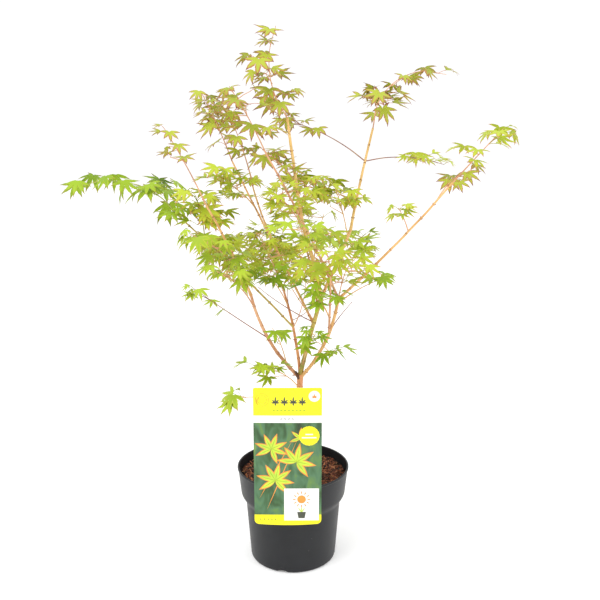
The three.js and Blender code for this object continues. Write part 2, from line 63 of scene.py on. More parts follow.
def turned(corners, steps):
    """A closed shape spun about the upright axis from corners of radius and height."""
    shape = bmesh.new()
    line = [shape.verts.new((radius * MM, 0, height * MM)) for radius, height in corners]
    edges = [shape.edges.new(pair) for pair in zip(line, line[1:])]
    bmesh.ops.spin(
        shape, geom=line + edges, cent=(0, 0, 0), axis=(0, 0, 1),
        angle=math.tau, steps=steps, use_merge=True,
    )
    bmesh.ops.remove_doubles(shape, verts=shape.verts, dist=1e-6)
    bmesh.ops.recalc_face_normals(shape, faces=shape.faces)
    return shape


def round_off(shape, radius, height, width, segments):
    """Rounds the ring of a turned shape that has this radius and height."""
    def on_ring(vert):
        off = math.hypot(vert.co.xy.length - radius * MM, vert.co.z - height * MM)
        return off < 0.05 * MM

    ring = [edge for edge in shape.edges if all(on_ring(vert) for vert in edge.verts)]
    bmesh.ops.bevel(
        shape, geom=ring, offset=width * MM, offset_type="OFFSET", segments=segments,
        profile=0.5, affect="EDGES", material=-1,
    )


def put(name, mesh, finishes, crease=35):
    """Places a finished mesh in the scene, smooth but for its sharp edges."""
    for finish in finishes:
        mesh.materials.append(finish)
    mesh.polygons.foreach_set("use_smooth", [True] * len(mesh.polygons))
    mesh.set_sharp_from_angle(angle=math.radians(crease))
    piece = bpy.data.objects.new(name, mesh)
    bpy.context.scene.collection.objects.link(piece)
    return piece


def mesh_from(name, shape):
    """The mesh of a finished shape, which is then let go."""
    mesh = bpy.data.meshes.new(name)
    shape.to_mesh(mesh)
    shape.free()
    return mesh


def linear(code):
    """An sRGB hex colour as linear red, green, blue and alpha."""
    parts = [int(code[i:i + 2], 16) / 255 for i in (0, 2, 4)]
    return [p / 12.92 if p <= 0.04045 else ((p + 0.055) / 1.055) ** 2.4 for p in parts] + [1]


def blank_material(name):
    """A node material that holds no node yet."""
    material = bpy.data.materials.new(name)
    material.use_nodes = True
    material.node_tree.nodes.clear()
    return material


def add_node(material, kind, settings=None, inputs=None):
    """Adds a node with its settings; an input takes a value or the output that feeds it."""
    made = material.node_tree.nodes.new(kind)
    for name, value in (settings or {}).items():
        if name == "stops":
            while len(made.color_ramp.elements) < len(value):
                made.color_ramp.elements.new(1)
            for element, (position, colour) in zip(made.color_ramp.elements, value):
                element.position = position
                element.color = colour
        else:
            setattr(made, name, value)
    for socket, value in (inputs or {}).items():
        if isinstance(value, bpy.types.NodeSocket):
            material.node_tree.links.new(value, made.inputs[socket])
        else:
            made.inputs[socket].default_value = value
    return made


# Sockets of a Mix node for colours, whose names each stand there more than once
MIX_SHARE, MIX_FIRST, MIX_SECOND, MIXED = 0, 6, 7, 2

# Black polypropylene, moulded with a fine satin skin: soft broad highlights, a few pale specks
# of dust about a millimetre across, and slight clouding from handling.
polypropylene = blank_material("moulded_black_polypropylene")
place = add_node(polypropylene, "ShaderNodeTexCoord").outputs["Object"]
cloud = add_node(
    polypropylene, "ShaderNodeTexNoise",
    inputs={"Vector": place, "Scale": 1 / (28 * MM), "Detail": 4},
)
clouded = add_node(
    polypropylene, "ShaderNodeValToRGB",
    {"stops": [(0.35, linear("16171a")), (0.7, linear("1d1e21"))]}, {"Fac": cloud.outputs[0]},
)
specks = add_node(
    polypropylene, "ShaderNodeTexVoronoi", inputs={"Vector": place, "Scale": 1 / (11 * MM)}
)
speck_mask = add_node(
    polypropylene, "ShaderNodeValToRGB",
    {"stops": [(0.03, (1, 1, 1, 1)), (0.06, (0, 0, 0, 1))]}, {"Fac": specks.outputs["Distance"]},
)
dusty = add_node(
    polypropylene, "ShaderNodeMix", {"data_type": "RGBA"},
    {MIX_SHARE: speck_mask.outputs[0], MIX_FIRST: clouded.outputs[0],
     MIX_SECOND: linear("5c5b58")},
)
sheen_of_skin = add_node(
    polypropylene, "ShaderNodeMapRange",
    inputs={"Value": cloud.outputs[0], "To Min": 0.36, "To Max": 0.52},
)
grain = add_node(
    polypropylene, "ShaderNodeTexNoise",
    inputs={"Vector": place, "Scale": 1 / (0.7 * MM), "Detail": 2},
)
grain_bump = add_node(
    polypropylene, "ShaderNodeBump",
    inputs={"Strength": 0.12, "Distance": 0.2 * MM, "Height": grain.outputs[0]},
)
skin = add_node(
    polypropylene, "ShaderNodeBsdfPrincipled",
    inputs={
        "Base Color": dusty.outputs[MIXED], "Roughness": sheen_of_skin.outputs[0],
        "Normal": grain_bump.outputs[0], "IOR": 1.49, "Specular IOR Level": 0.36,
    },
)
add_node(polypropylene, "ShaderNodeOutputMaterial", inputs={"Surface": skin.outputs[0]})

wall = turned(POT_CORNERS, POT_STEPS)
for ring_radius, ring_height, width, segments in POT_ROUNDINGS:
    round_off(wall, ring_radius, ring_height, width, segments)
pot = put("nursery_pot", mesh_from("nursery_pot", wall), [polypropylene])

# Drain arches: round cutters lying on their sides, each with its axis pointing outwards
cutters = bmesh.new()
lie_down = Vector((0, 0, 1)).rotation_difference(Vector((1, 0, 0))).to_matrix()
for bearing in DRAIN_BEARINGS:
    arch = bmesh.ops.create_cone(
        cutters, cap_ends=True, segments=DRAIN_SIDES,
        radius1=DRAIN_RADIUS * MM, radius2=DRAIN_RADIUS * MM, depth=DRAIN_DEPTH * MM,
    )["verts"]
    bmesh.ops.rotate(cutters, verts=arch, cent=(0, 0, 0), matrix=lie_down)
    bmesh.ops.translate(
        cutters, verts=arch, vec=(DRAIN_MIDDLE * MM, 0, DRAIN_AXIS_HEIGHT * MM)
    )
    outwards = Vector((math.cos(math.radians(bearing)), math.sin(math.radians(bearing)), 0))
    face_out = Vector((1, 0, 0)).rotation_difference(outwards).to_matrix()
    bmesh.ops.rotate(cutters, verts=arch, cent=(0, 0, 0), matrix=face_out)
cutter = put("drain_cutter", mesh_from("drain_cutter", cutters), [])


def settle(piece):
    """Applies a piece's modifiers to its mesh."""
    graph = bpy.context.evaluated_depsgraph_get()
    graph.update()
    done = bpy.data.meshes.new_from_object(piece.evaluated_get(graph))
    piece.modifiers.clear()
    piece.data = done


cut = pot.modifiers.new("drain", "BOOLEAN")
cut.operation = "DIFFERENCE"
cut.solver = "EXACT"
cut.object = cutter
settle(pot)
bpy.data.objects.remove(cutter)
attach(pot, "root")
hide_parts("pot")

# The growing mix is composted bark with a little fibre, filled to about 14 mm under the rim and
# highest round the trunk. Its bed is a turned shape with a lumpy top.
SOIL_TOP = 151.2
SOIL_SIDE = [(0, 2.4), (68, 2.4), (72, 6), (79.5, 105), (87.5, 117.5), (91.2, 148.6)]
SOIL_RINGS, SOIL_STEPS = (*range(88, 0, -3), 0), 120
SOIL_LEVEL = 150
# The top falls a millimetre over the mound round the trunk, and faster towards the wall
SOIL_MOUND, SOIL_WALL, EDGE_SHARE, EDGE_FALL = 55, 91, 0.6, 5.5
# Lumps in the top: their width, height and layer of noise
SOIL_LUMPS = [(13, 1.1, 3), (4.5, 0.7, 9)]


def soil_height(x, y):
    """Height of the mix in millimetres at a place given in millimetres."""
    radius = math.hypot(x, y)
    fall = min(radius / SOIL_MOUND, 1) + EDGE_FALL * max(0, radius / SOIL_WALL - EDGE_SHARE)
    lumps = sum(
        noise.noise(Vector((x, y, layer)) / width) * height for width, height, layer in SOIL_LUMPS
    )
    return SOIL_TOP - fall + lumps


bed = turned(SOIL_SIDE + [(radius, SOIL_LEVEL) for radius in SOIL_RINGS], SOIL_STEPS)
for vert in bed.verts:
    if vert.co.z > (SOIL_LEVEL - 0.1) * MM:
        vert.co.z = soil_height(vert.co.x / MM, vert.co.y / MM) * MM

# Composted bark, milled: matt, crumbly and damp, dark red-brown, in crumbs of one to four
# millimetres; the near black in the sunken gaps between crumbs is painted shade.
dark_mix = blank_material("composted_bark_fines")
place = add_node(dark_mix, "ShaderNodeTexCoord").outputs["Object"]
crumbs = add_node(
    dark_mix, "ShaderNodeTexVoronoi", inputs={"Vector": place, "Scale": 1 / (2.4 * MM)}
)
# Red-brown in each crumb, going to near black in the gaps between crumbs: that near black is
# painted shade
crumb_tone_and_gap_shade = add_node(
    dark_mix, "ShaderNodeValToRGB",
    {"stops": [(0.1, linear("4a2a1c")), (0.45, linear("2d1a12")), (0.75, linear("150c08"))]},
    {"Fac": crumbs.outputs["Distance"]},
)
crumb_bump = add_node(
    dark_mix, "ShaderNodeBump", {"invert": True},
    {"Strength": 0.9, "Distance": 1.2 * MM, "Height": crumbs.outputs["Distance"]},
)
crumb_skin = add_node(
    dark_mix, "ShaderNodeBsdfPrincipled",
    inputs={
        "Base Color": crumb_tone_and_gap_shade.outputs[0], "Roughness": 0.95, "Normal": crumb_bump.outputs[0],
    },
)
add_node(dark_mix, "ShaderNodeOutputMaterial", inputs={"Surface": crumb_skin.outputs[0]})

soil = put("growing_mix_bed", mesh_from("growing_mix_bed", bed), [dark_mix], 80)
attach(soil, "root")
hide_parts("soil")


def bark_chip_finish(name, light, dark):
    """Chipped bark: matt, with grain lines about 0.8 mm apart and one face paler than the next."""
    material = blank_material(name)
    place = add_node(material, "ShaderNodeTexCoord").outputs["Object"]
    patches = add_node(
        material, "ShaderNodeTexNoise",
        inputs={"Vector": place, "Scale": 1 / (5 * MM), "Detail": 3},
    )
    tone = add_node(
        material, "ShaderNodeValToRGB",
        {"stops": [(0.35, linear(dark)), (0.65, linear(light))]}, {"Fac": patches.outputs[0]},
    )
    lines = add_node(
        material, "ShaderNodeTexNoise",
        inputs={"Vector": place, "Scale": 1 / (0.8 * MM), "Detail": 2},
    )
    bump = add_node(
        material, "ShaderNodeBump",
        inputs={"Strength": 0.5, "Distance": 0.3 * MM, "Height": lines.outputs[0]},
    )
    skin = add_node(
        material, "ShaderNodeBsdfPrincipled",
        inputs={"Base Color": tone.outputs[0], "Roughness": 0.85, "Normal": bump.outputs[0]},
    )
    add_node(material, "ShaderNodeOutputMaterial", inputs={"Surface": skin.outputs[0]})
    return material


# Chips lie on the bed: split slivers of bark, each a box of six faces pulled out of square.
# Kinds: name, number, length, width and thickness in millimetres, light and dark tone.
CHIP_KINDS = [
    ("bark_chips_red_brown", 1700, (3, 8), (1.5, 3.6), (0.8, 2), "7c4128", "44210f"),
    ("bark_chips_dark", 1500, (2.5, 7), (1.4, 3.4), (0.8, 2), "341b11", "160b07"),
    ("bark_chips_pale", 620, (4, 9), (1.2, 3), (0.5, 1.3), "b8764c", "8c5233"),
    ("bark_fibres", 420, (7, 14), (0.4, 0.8), (0.4, 0.7), "cf9a6a", "9a6540"),
]
# They lie between the trunk and the pot's wall, and leave room for the label's tongue
CHIP_REACH, TRUNK_COLLAR, INNER_WALL = 88, 8, 91
TONGUE_LEFT, TONGUE_RIGHT, TONGUE_FRONT, TONGUE_BACK = -26.5, 11.5, -92, -80
CHIP_PITCH, CHIP_ROLL, CHIP_SKEW, CHIP_LIFT = 20, 24, 0.16, (-0.4, 1.6)
chip_draw = numpy.random.default_rng(7)
chip_box = bmesh.new()
bmesh.ops.create_cube(chip_box, size=1)
chip_corners = numpy.array([vert.co[:] for vert in chip_box.verts])
chip_faces = numpy.array([[vert.index for vert in face.verts] for face in chip_box.faces])
chip_box.free()


def turn_matrix(yaw, pitch, roll):
    """Rotation rows for a turn about the upright axis, then a pitch and a roll, in degrees."""
    (cy, sy), (cp, sp), (cr, sr) = [
        (math.cos(math.radians(a)), math.sin(math.radians(a))) for a in (yaw, pitch, roll)
    ]
    flat = numpy.array([[cy, -sy, 0], [sy, cy, 0], [0, 0, 1]])
    lean = numpy.array([[cp, 0, sp], [0, 1, 0], [-sp, 0, cp]])
    side = numpy.array([[1, 0, 0], [0, cr, -sr], [0, sr, cr]])
    return flat @ lean @ side


def joined_mesh(name, points, faces, zones=None):
    """One mesh of many small shapes, from their corners in millimetres."""
    mesh = bpy.data.meshes.new(name)
    mesh.from_pydata((numpy.asarray(points) * MM).tolist(), [], faces)
    if zones is not None:
        mesh.polygons.foreach_set("material_index", zones)
    mesh.update()
    return mesh


for name, number, lengths, widths, depths, light, dark in CHIP_KINDS:
    points, faces = [], []
    while len(points) < number * len(chip_corners):
        radius = CHIP_REACH * math.sqrt(chip_draw.random())
        bearing = chip_draw.random() * math.tau
        x, y = radius * math.cos(bearing), radius * math.sin(bearing)
        size = [chip_draw.uniform(*span) for span in (lengths, widths, depths)]
        if radius < TRUNK_COLLAR + size[0] / 2 or radius + size[0] / 2 > INNER_WALL:
            continue
        if TONGUE_LEFT < x < TONGUE_RIGHT and TONGUE_FRONT < y < TONGUE_BACK:
            continue
        yaw = chip_draw.random() * 360
        turn = turn_matrix(yaw, chip_draw.normal() * CHIP_PITCH, chip_draw.normal() * CHIP_ROLL)
        skew = chip_draw.uniform(-CHIP_SKEW, CHIP_SKEW, chip_corners.shape)
        corners = (chip_corners + skew) * size
        base = soil_height(x, y) + chip_draw.uniform(*CHIP_LIFT)
        faces += (chip_faces + len(points)).tolist()
        points += (corners @ turn.T + (x, y, base)).tolist()
    chips = put(name, joined_mesh(name, points, faces), [bark_chip_finish(name, light, dark)], 25)
    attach(chips, "root")

# The label is a printed card of glossy polypropylene, 108 mm wide and 232 mm tall. It hangs
# outside the rim on a tongue that crosses the rim and is pushed down into the mix.
LABEL_HALF = 54
LABEL_FOOT = 106
LABEL_TOP = 338
LABEL_MIDDLE = -7.5
LABEL_FRONT = -98.6
LABEL_THICKNESS = 0.9
LABEL_BOW, LABEL_LEAN = 0.7, 1.2
LABEL_SAG, SAG_HEIGHT = 2.4, 14
FOOT_ROUNDING, TOP_ROUNDING = (7, 6), (3, 4)
CELL_WIDTH, CELL_HEIGHT, CELLS_ASIDE, CELLS_UP = 5.4, 14.5, 9, 15
TONGUE_HALF = 15
TONGUE_LINE = [
    (0, 165.3), (8.6, 165.3), (14.1, 122), (15, 122), (9.5, 167.1), (6, 169), (0, 169.8),
]


def printed_finish(name, tone, mottle, width):
    """Ink under a clear gloss film on plastic card, laid down with a faint mottle."""
    material = blank_material(name)
    place = add_node(material, "ShaderNodeTexCoord").outputs["Object"]
    drift = add_node(
        material, "ShaderNodeTexNoise",
        inputs={"Vector": place, "Scale": 1 / (width * MM), "Detail": 3},
    )
    ink = add_node(
        material, "ShaderNodeValToRGB",
        {"stops": [(0.3, linear(tone)), (0.75, linear(mottle))]}, {"Fac": drift.outputs[0]},
    )
    film = add_node(
        material, "ShaderNodeBsdfPrincipled",
        inputs={"Base Color": ink.outputs[0], "Roughness": 0.3},
    )
    add_node(material, "ShaderNodeOutputMaterial", inputs={"Surface": film.outputs[0]})
    return material


lemon = printed_finish("lemon_ink_on_card", "f8f00c", "f2e600", 60)
card_white = printed_finish("white_plastic_card", "f2f2ee", "ecece6", 60)


def bent(along, up):
    """Depth of the card's front at a place on it: it bows across and leans forward at its top."""
    across = along / LABEL_HALF
    height = (up - LABEL_FOOT) / (LABEL_TOP - LABEL_FOOT)
    return LABEL_BOW * (1 - across * across) + LABEL_LEAN * height * height


def box_outline(left, right, low, high):
    """Corners of an upright rectangle on the card."""
    return [(left, low), (right, low), (right, high), (left, high)]


def cut_into_cells(shape):
    """Cuts a flat shape along upright and level lines, so that it can follow the card's bow."""
    planes = [
        ((step * CELL_WIDTH * MM, 0, 0), (1, 0, 0)) for step in range(-CELLS_ASIDE, CELLS_ASIDE + 1)
    ]
    planes += [
        ((0, 0, (LABEL_FOOT + step * CELL_HEIGHT) * MM), (0, 0, 1))
        for step in range(1, CELLS_UP + 1)
    ]
    for place, across in planes:
        bmesh.ops.bisect_plane(
            shape, geom=shape.verts[:] + shape.edges[:] + shape.faces[:], dist=1e-7,
            plane_co=place, plane_no=across,
        )


def thicken(shape, faces, step):
    """Pulls a copy of some faces out by a step, with a wall along their edges."""
    pulled = bmesh.ops.extrude_face_region(shape, geom=faces)["geom"]
    verts = [item for item in pulled if isinstance(item, bmesh.types.BMVert)]
    bmesh.ops.translate(shape, verts=verts, vec=step)


card = bmesh.new()
card_outline = box_outline(-LABEL_HALF, LABEL_HALF, LABEL_FOOT, LABEL_TOP)
card.faces.new([card.verts.new((along * MM, 0, up * MM)) for along, up in card_outline])
for level, (radius, segments) in ((LABEL_FOOT, FOOT_ROUNDING), (LABEL_TOP, TOP_ROUNDING)):
    pair = [vert for vert in card.verts if abs(vert.co.z - level * MM) < 0.1 * MM]
    bmesh.ops.bevel(
        card, geom=pair, offset=radius * MM, offset_type="OFFSET", segments=segments,
        profile=0.5, affect="VERTICES", material=-1,
    )
cut_into_cells(card)
bmesh.ops.recalc_face_normals(card, faces=card.faces)
thicken(card, card.faces[:], (0, LABEL_THICKNESS * MM, 0))
for vert in card.verts:
    along, up = vert.co.x / MM, vert.co.z / MM
    low = max(0, 1 - (up - LABEL_FOOT) / SAG_HEIGHT)
    vert.co.y += (LABEL_FRONT - bent(along, up)) * MM
    vert.co.z -= LABEL_SAG * (1 - (along / LABEL_HALF) ** 2) * low * MM
    vert.co.x += LABEL_MIDDLE * MM
tongue_side = (LABEL_MIDDLE - TONGUE_HALF) * MM
tongue_depth = LABEL_FRONT + LABEL_THICKNESS / 2
tongue = [
    card.verts.new((tongue_side, (tongue_depth + inwards) * MM, up * MM))
    for inwards, up in TONGUE_LINE
]
thicken(card, [card.faces.new(tongue)], (2 * TONGUE_HALF * MM, 0, 0))
bmesh.ops.recalc_face_normals(card, faces=card.faces)
for face in card.faces:
    face.material_index = 0 if face.normal.y < -0.5 and face.calc_center_median().z > 0 else 1
label = put("label_card", mesh_from("label_card", card), [lemon, card_white])
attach(label, "root")
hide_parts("label")

# Films of ink lie a step above each other, and an outline with many corners is split up first
FILM_STEP, MANY_CORNERS = 0.05, 40


def print_shapes(name, outlines, level, finish):
    """Ink of one colour as thin films on the card, from outlines across and up it."""
    film = bmesh.new()
    depth = LABEL_FRONT - FILM_STEP * level
    for outline in outlines:
        film.faces.new([film.verts.new((along * MM, 0, up * MM)) for along, up in outline])
    crowded = [face for face in film.faces if len(face.verts) > MANY_CORNERS]
    bmesh.ops.triangulate(film, faces=crowded)
    cut_into_cells(film)
    for vert in film.verts:
        vert.co.y += (depth - bent(vert.co.x / MM, vert.co.z / MM)) * MM
        vert.co.x += LABEL_MIDDLE * MM
    bmesh.ops.recalc_face_normals(film, faces=film.faces)
    if sum(face.normal.y for face in film.faces) > 0:
        bmesh.ops.reverse_faces(film, faces=film.faces)
    ink = put(name, mesh_from(name, film), [finish])
    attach(ink, "root")


def disc_outline(along, up, radius, sides=36, scallop=0):
    """Corners of a disc on the card, every second one pushed out where it is scalloped."""
    spots = [(math.tau * i / sides, radius * (1 + scallop * (i % 2))) for i in range(sides)]
    return [(along + far * math.cos(turn), up + far * math.sin(turn)) for turn, far in spots]


def leaf_outline(along, up, turn, length, width):
    """A long leaf, pointed at both ends, with its foot at the place given."""
    forward = (math.cos(math.radians(turn)), math.sin(math.radians(turn)))
    edge = [(t / 8, width / 2 * math.sin(math.pi * (t / 8) ** 0.8)) for t in range(9)]
    edge += [(t, -half) for t, half in edge[-2:0:-1]]
    return [
        (
            along + forward[0] * t * length - forward[1] * half,
            up + forward[1] * t * length + forward[0] * half,
        )
        for t, half in edge
    ]


# The picture field is printed as a soft green garden blur: light that drifts through foliage,
# in patches about 16 mm across on the card and twice as tall.
garden = blank_material("green_picture_print")
place = add_node(garden, "ShaderNodeTexCoord").outputs["Object"]
stretched = add_node(garden, "ShaderNodeMapping", inputs={"Vector": place, "Scale": (1, 1, 0.45)})
blur = add_node(
    garden, "ShaderNodeTexNoise",
    inputs={"Vector": stretched.outputs[0], "Scale": 1 / (16 * MM), "Detail": 2, "Distortion": 0.6},
)
greens = add_node(
    garden, "ShaderNodeValToRGB",
    {"stops": [(0.28, linear("22361a")), (0.42, linear("355a2e")), (0.58, linear("4c7450")),
               (0.7, linear("5f8440")), (0.8, linear("94a83c"))]},
    {"Fac": blur.outputs[0]},
)
garden_film = add_node(
    garden, "ShaderNodeBsdfPrincipled", inputs={"Base Color": greens.outputs[0], "Roughness": 0.3}
)
add_node(garden, "ShaderNodeOutputMaterial", inputs={"Surface": garden_film.outputs[0]})

PICTURE_LOW, PICTURE_HIGH, BAND_HIGH = 122, 280, 292
picture = box_outline(-LABEL_HALF, LABEL_HALF, PICTURE_LOW, PICTURE_HIGH)
print_shapes("print_picture_field", [picture], 1, garden)
band = box_outline(-LABEL_HALF, LABEL_HALF, PICTURE_HIGH, BAND_HIGH)
print_shapes("print_white_band", [band], 1, card_white)

# Sprigs of long leaves, lime with an orange edge, in fans along two arching twigs. Fans: place
# across and up the card, length of a leaf, and the way each leaf points in degrees.
FANS = [
    (-26, 236, 24, [-70, -20, 25, 70, 115, 160, 205]),
    (14, 214, 28, [-55, -12, 32, 80, 128, 175]),
    (-20, 182, 27, [-48, -8, 35, 78, 120, 165, 212]),
    (20, 254, 16, [-20, 30, 85, 140, 200]),
]


def fan_outlines(length, width, width_share=0):
    """The leaves of all fans, so many times as long as they are and as wide as asked."""
    return [
        leaf_outline(along, up, turn, size * length, width + size * width_share)
        for along, up, size, turns in FANS for turn in turns
    ]


orange_ink = printed_finish("orange_ink_on_card", "e89a3c", "dd7f34", 20)
lime_ink = printed_finish("lime_ink_on_card", "cfe23a", "a9cc3c", 14)
rib_ink = printed_finish("leaf_green_ink_on_card", "8fb21f", "7fa41c", 14)
twigs = [leaf_outline(-46, 150, 62, 118, 1.8), leaf_outline(-34, 130, 68, 140, 1.6)]
print_shapes("print_twigs", twigs, 2, orange_ink)
print_shapes("print_leaf_edges", fan_outlines(1.16, 0, 0.36), 3, orange_ink)
print_shapes("print_leaves", fan_outlines(1, 0, 0.27), 4, lime_ink)
print_shapes("print_leaf_ribs", fan_outlines(0.86, 0.9), 5, rib_ink)

# The badge, the inset with a sun over a plain pot, and the small marks are printed in lemon,
# white, orange, lime, ochre and charcoal ink, each film a step above the one it lies on.
charcoal_ink = printed_finish("charcoal_ink_on_card", "3c3f34", "4a4d3e", 20)
ochre_ink = printed_finish("pale_ochre_ink_on_card", "dcbc14", "d4b010", 20)
print_shapes("print_badge", [disc_outline(34, 258, 16, 44, 0.03)], 6, lemon)
badge_bars = [box_outline(28, 40, 259.5, 261.5), box_outline(22.5, 45.5, 254, 256)]
print_shapes("print_badge_bars", badge_bars, 7, card_white)
print_shapes("print_inset", [box_outline(-6, 50, 112, 168)], 6, card_white)
SUN_ALONG, SUN_UP, RAY_START = 22, 149, 9
sun = [disc_outline(SUN_ALONG, SUN_UP, 7, 28)]
for turn in range(0, 360, 30):
    along = SUN_ALONG + RAY_START * math.cos(math.radians(turn))
    up = SUN_UP + RAY_START * math.sin(math.radians(turn))
    sun.append(leaf_outline(along, up, turn, 6, 1.8))
print_shapes("print_sun", sun, 7, orange_ink)
sprout = [
    leaf_outline(SUN_ALONG, 126, turn, length, 1.8)
    for turn, length in ((90, 12), (58, 11), (122, 11))
]
print_shapes("print_sprout", sprout, 7, lime_ink)
pot_mark = [(15, 127), (17, 116), (27, 116), (29, 127)]
print_shapes("print_pot_mark", [pot_mark], 8, charcoal_ink)
RING_ALONG, RING_UP, RING_WIDTH = -40, 318, 1.1
ring_marks = [
    [
        (RING_ALONG + r * math.cos(a), RING_UP + r * math.sin(a))
        for r, angles in ((far, range(0, 31)), (far - RING_WIDTH, range(30, -1, -1)))
        for a in [math.radians(start + step * 4) for step in angles]
    ]
    for far in (11, 7.5)
    for start in (0, 125, 245)
]
print_shapes("print_ring", ring_marks, 1, ochre_ink)
header_leaves = [
    leaf_outline(-19 + 14 * i, 313, turn, 11 if turn == 90 else 9 - abs(turn - 90) / 45, 2.6)
    for i in range(4)
    for turn in (90, 45, 135, 4, 176, -90)
]
print_shapes("print_header_leaves", header_leaves, 1, charcoal_ink)


def dashed_line(along, up, number, width):
    """A row of short dashes that point up and down by turns."""
    return [
        leaf_outline(along + 6 * i, up + (i % 2), 12 - 24 * (i % 2), 5, width)
        for i in range(number)
    ]


print_shapes("print_band_line", dashed_line(-12, 286, 4, 1.3), 2, charcoal_ink)
print_shapes("print_header_line", dashed_line(-24, 300, 9, 1.7), 1, rib_ink)
print_shapes("print_corner", [disc_outline(42, 324, 9, 32)], 1, card_white)
corner_mark = [
    leaf_outline(42, 322, turn, 6 - abs(turn - 90) / 60, 2) for turn in (90, 40, 140, -10, 190)
]
print_shapes("print_corner_mark", corner_mark, 2, orange_ink)
footer_dots = [disc_outline(-44 + 6 * i, 114, 1, 12) for i in range(5)]
print_shapes("print_footer_dots", footer_dots, 1, charcoal_ink)

# The trunk and its boughs grow from one table: each limb starts on the centre line of the limb
# it grows on. Columns: name, limb it grows on, share of that limb, bearing at foot and end, rise
# at foot and end in degrees, length, and diameter at foot and end in millimetres.
LIMBS = [
    ("left_bough", "trunk", 0.96, (195, 231), (46, 72), 180, (6.2, 4.6)),
    ("left_upper", "left_bough", 1, (221, 223), (66, 56), 168, (4.6, 3)),
    ("right_bough", "trunk", 0.96, (333, 302), (48, 75), 170, (6, 5)),
    ("right_outer", "right_bough", 1, (332, 329), (43, 50), 260, (4.6, 2.8)),
    ("crossing_stem", "right_bough", 1, (187, 203), (67, 59), 254, (4.2, 2.6)),
    ("leader_foot", "trunk", 1, (16, 12), (76, 73), 134, (7.6, 7)),
    ("leader", "leader_foot", 1, (223, 184), (76, 73), 126, (6.8, 6)),
    ("leader_upper", "leader", 1, (147, 146), (79, 81), 172, (6, 4)),
    ("centre_bough", "trunk", 1, (109, 121), (71, 53), 159, (5.6, 3.6)),
    ("far_left_stem", "centre_bough", 0.51, (203, 191), (48, 44), 267, (3.4, 2.4)),
    ("long_stem", "leader_foot", 0.66, (127, 151), (48, 60), 323, (4.4, 2.8)),
    ("twin_stem", "long_stem", 0.48, (152, 236), (65, 75), 127, (3.4, 2.6)),
    ("right_back", "leader_foot", 1, (63, 51), (39, 54), 142, (5.4, 5)),
    ("right_back_upper", "right_back", 1, (67, 38), (64, 73), 185, (5, 3.8)),
    ("back_bough", "leader_foot", 0.83, (89, 106), (21, 38), 177, (4, 3)),
    ("front_bough", "right_bough", 0.62, (269, 269), (37, 61), 149, (4, 2.6)),
]
LIMB_STEPS = 6
TRUNK_SHAPE = ((0, 0), (84, 88), 178)
TRUNK_START = 150.3
# Height of each swelling of the trunk, and the share of its length over which it fades
TRUNK_RADIUS, FOOT_SWELL, FORK_SWELL = 4.8, (3.4, 0.12), (1.5, 0.05)


def between(span, share):
    """The value at a share of the way from the first of two to the second."""
    return span[0] + (span[1] - span[0]) * share


def heading(bearing, rise):
    """A step of length one towards a bearing and a rise in degrees."""
    turn, lift = math.radians(bearing), math.radians(rise)
    return numpy.array(
        [math.cos(lift) * math.cos(turn), math.cos(lift) * math.sin(turn), math.sin(lift)]
    )


def course(start, bearing, rise, length, steps):
    """The line of a limb whose bearing and rise change evenly from its foot to its end."""
    points = [numpy.array(start, float)]
    for step in range(steps):
        share = (step + 0.5) / steps
        ahead = heading(between(bearing, share), between(rise, share))
        points.append(points[-1] + ahead * (length / steps))
    return numpy.array(points)


def point_along(points, share):
    """The place at a share of a line, whose steps all count as equally long."""
    place = share * (len(points) - 1)
    step = min(int(place), len(points) - 2)
    return points[step] + (points[step + 1] - points[step]) * (place - step)


def smoothed(points, spacing):
    """The same line with rounded bends, and points about this far apart."""
    ends = [2 * points[0] - points[1], *points, 2 * points[-1] - points[-2]]
    line = []
    for a, b, c, d in zip(ends, ends[1:], ends[2:], ends[3:]):
        count = max(1, round(float(numpy.linalg.norm(c - b)) / spacing))
        for t in numpy.arange(count) / count:
            line.append(
                0.5 * (2 * b + (c - a) * t + (2 * a - 5 * b + 4 * c - d) * t * t
                       + (3 * b - a - 3 * c + d) * t ** 3)
            )
    return numpy.array(line + [points[-1]])


def tubes(name, lines, roundness):
    """One mesh of closed tubes, from lines of points, radii and a material number."""
    curve = bpy.data.curves.new(name, "CURVE")
    curve.dimensions = "3D"
    curve.bevel_depth = MM
    curve.bevel_resolution = roundness
    curve.use_fill_caps = True
    curve.twist_mode = "MINIMUM"
    for points, radii, number in lines:
        spline = curve.splines.new("POLY")
        spline.points.add(len(points) - 1)
        flat = numpy.column_stack([numpy.asarray(points) * MM, numpy.ones(len(points))])
        spline.points.foreach_set("co", flat.ravel())
        spline.points.foreach_set("radius", numpy.asarray(radii, float))
        spline.material_index = number
    holder = bpy.data.objects.new(name, curve)
    bpy.context.scene.collection.objects.link(holder)
    graph = bpy.context.evaluated_depsgraph_get()
    graph.update()
    mesh = bpy.data.meshes.new_from_object(holder.evaluated_get(graph))
    bpy.data.objects.remove(holder)
    shape = bmesh.new()
    shape.from_mesh(mesh)
    bmesh.ops.remove_doubles(shape, verts=shape.verts, dist=1e-7)
    bmesh.ops.recalc_face_normals(shape, faces=shape.faces)
    shape.to_mesh(mesh)
    shape.free()
    mesh.materials.clear()
    for layer in list(mesh.uv_layers):
        mesh.uv_layers.remove(layer)
    return mesh


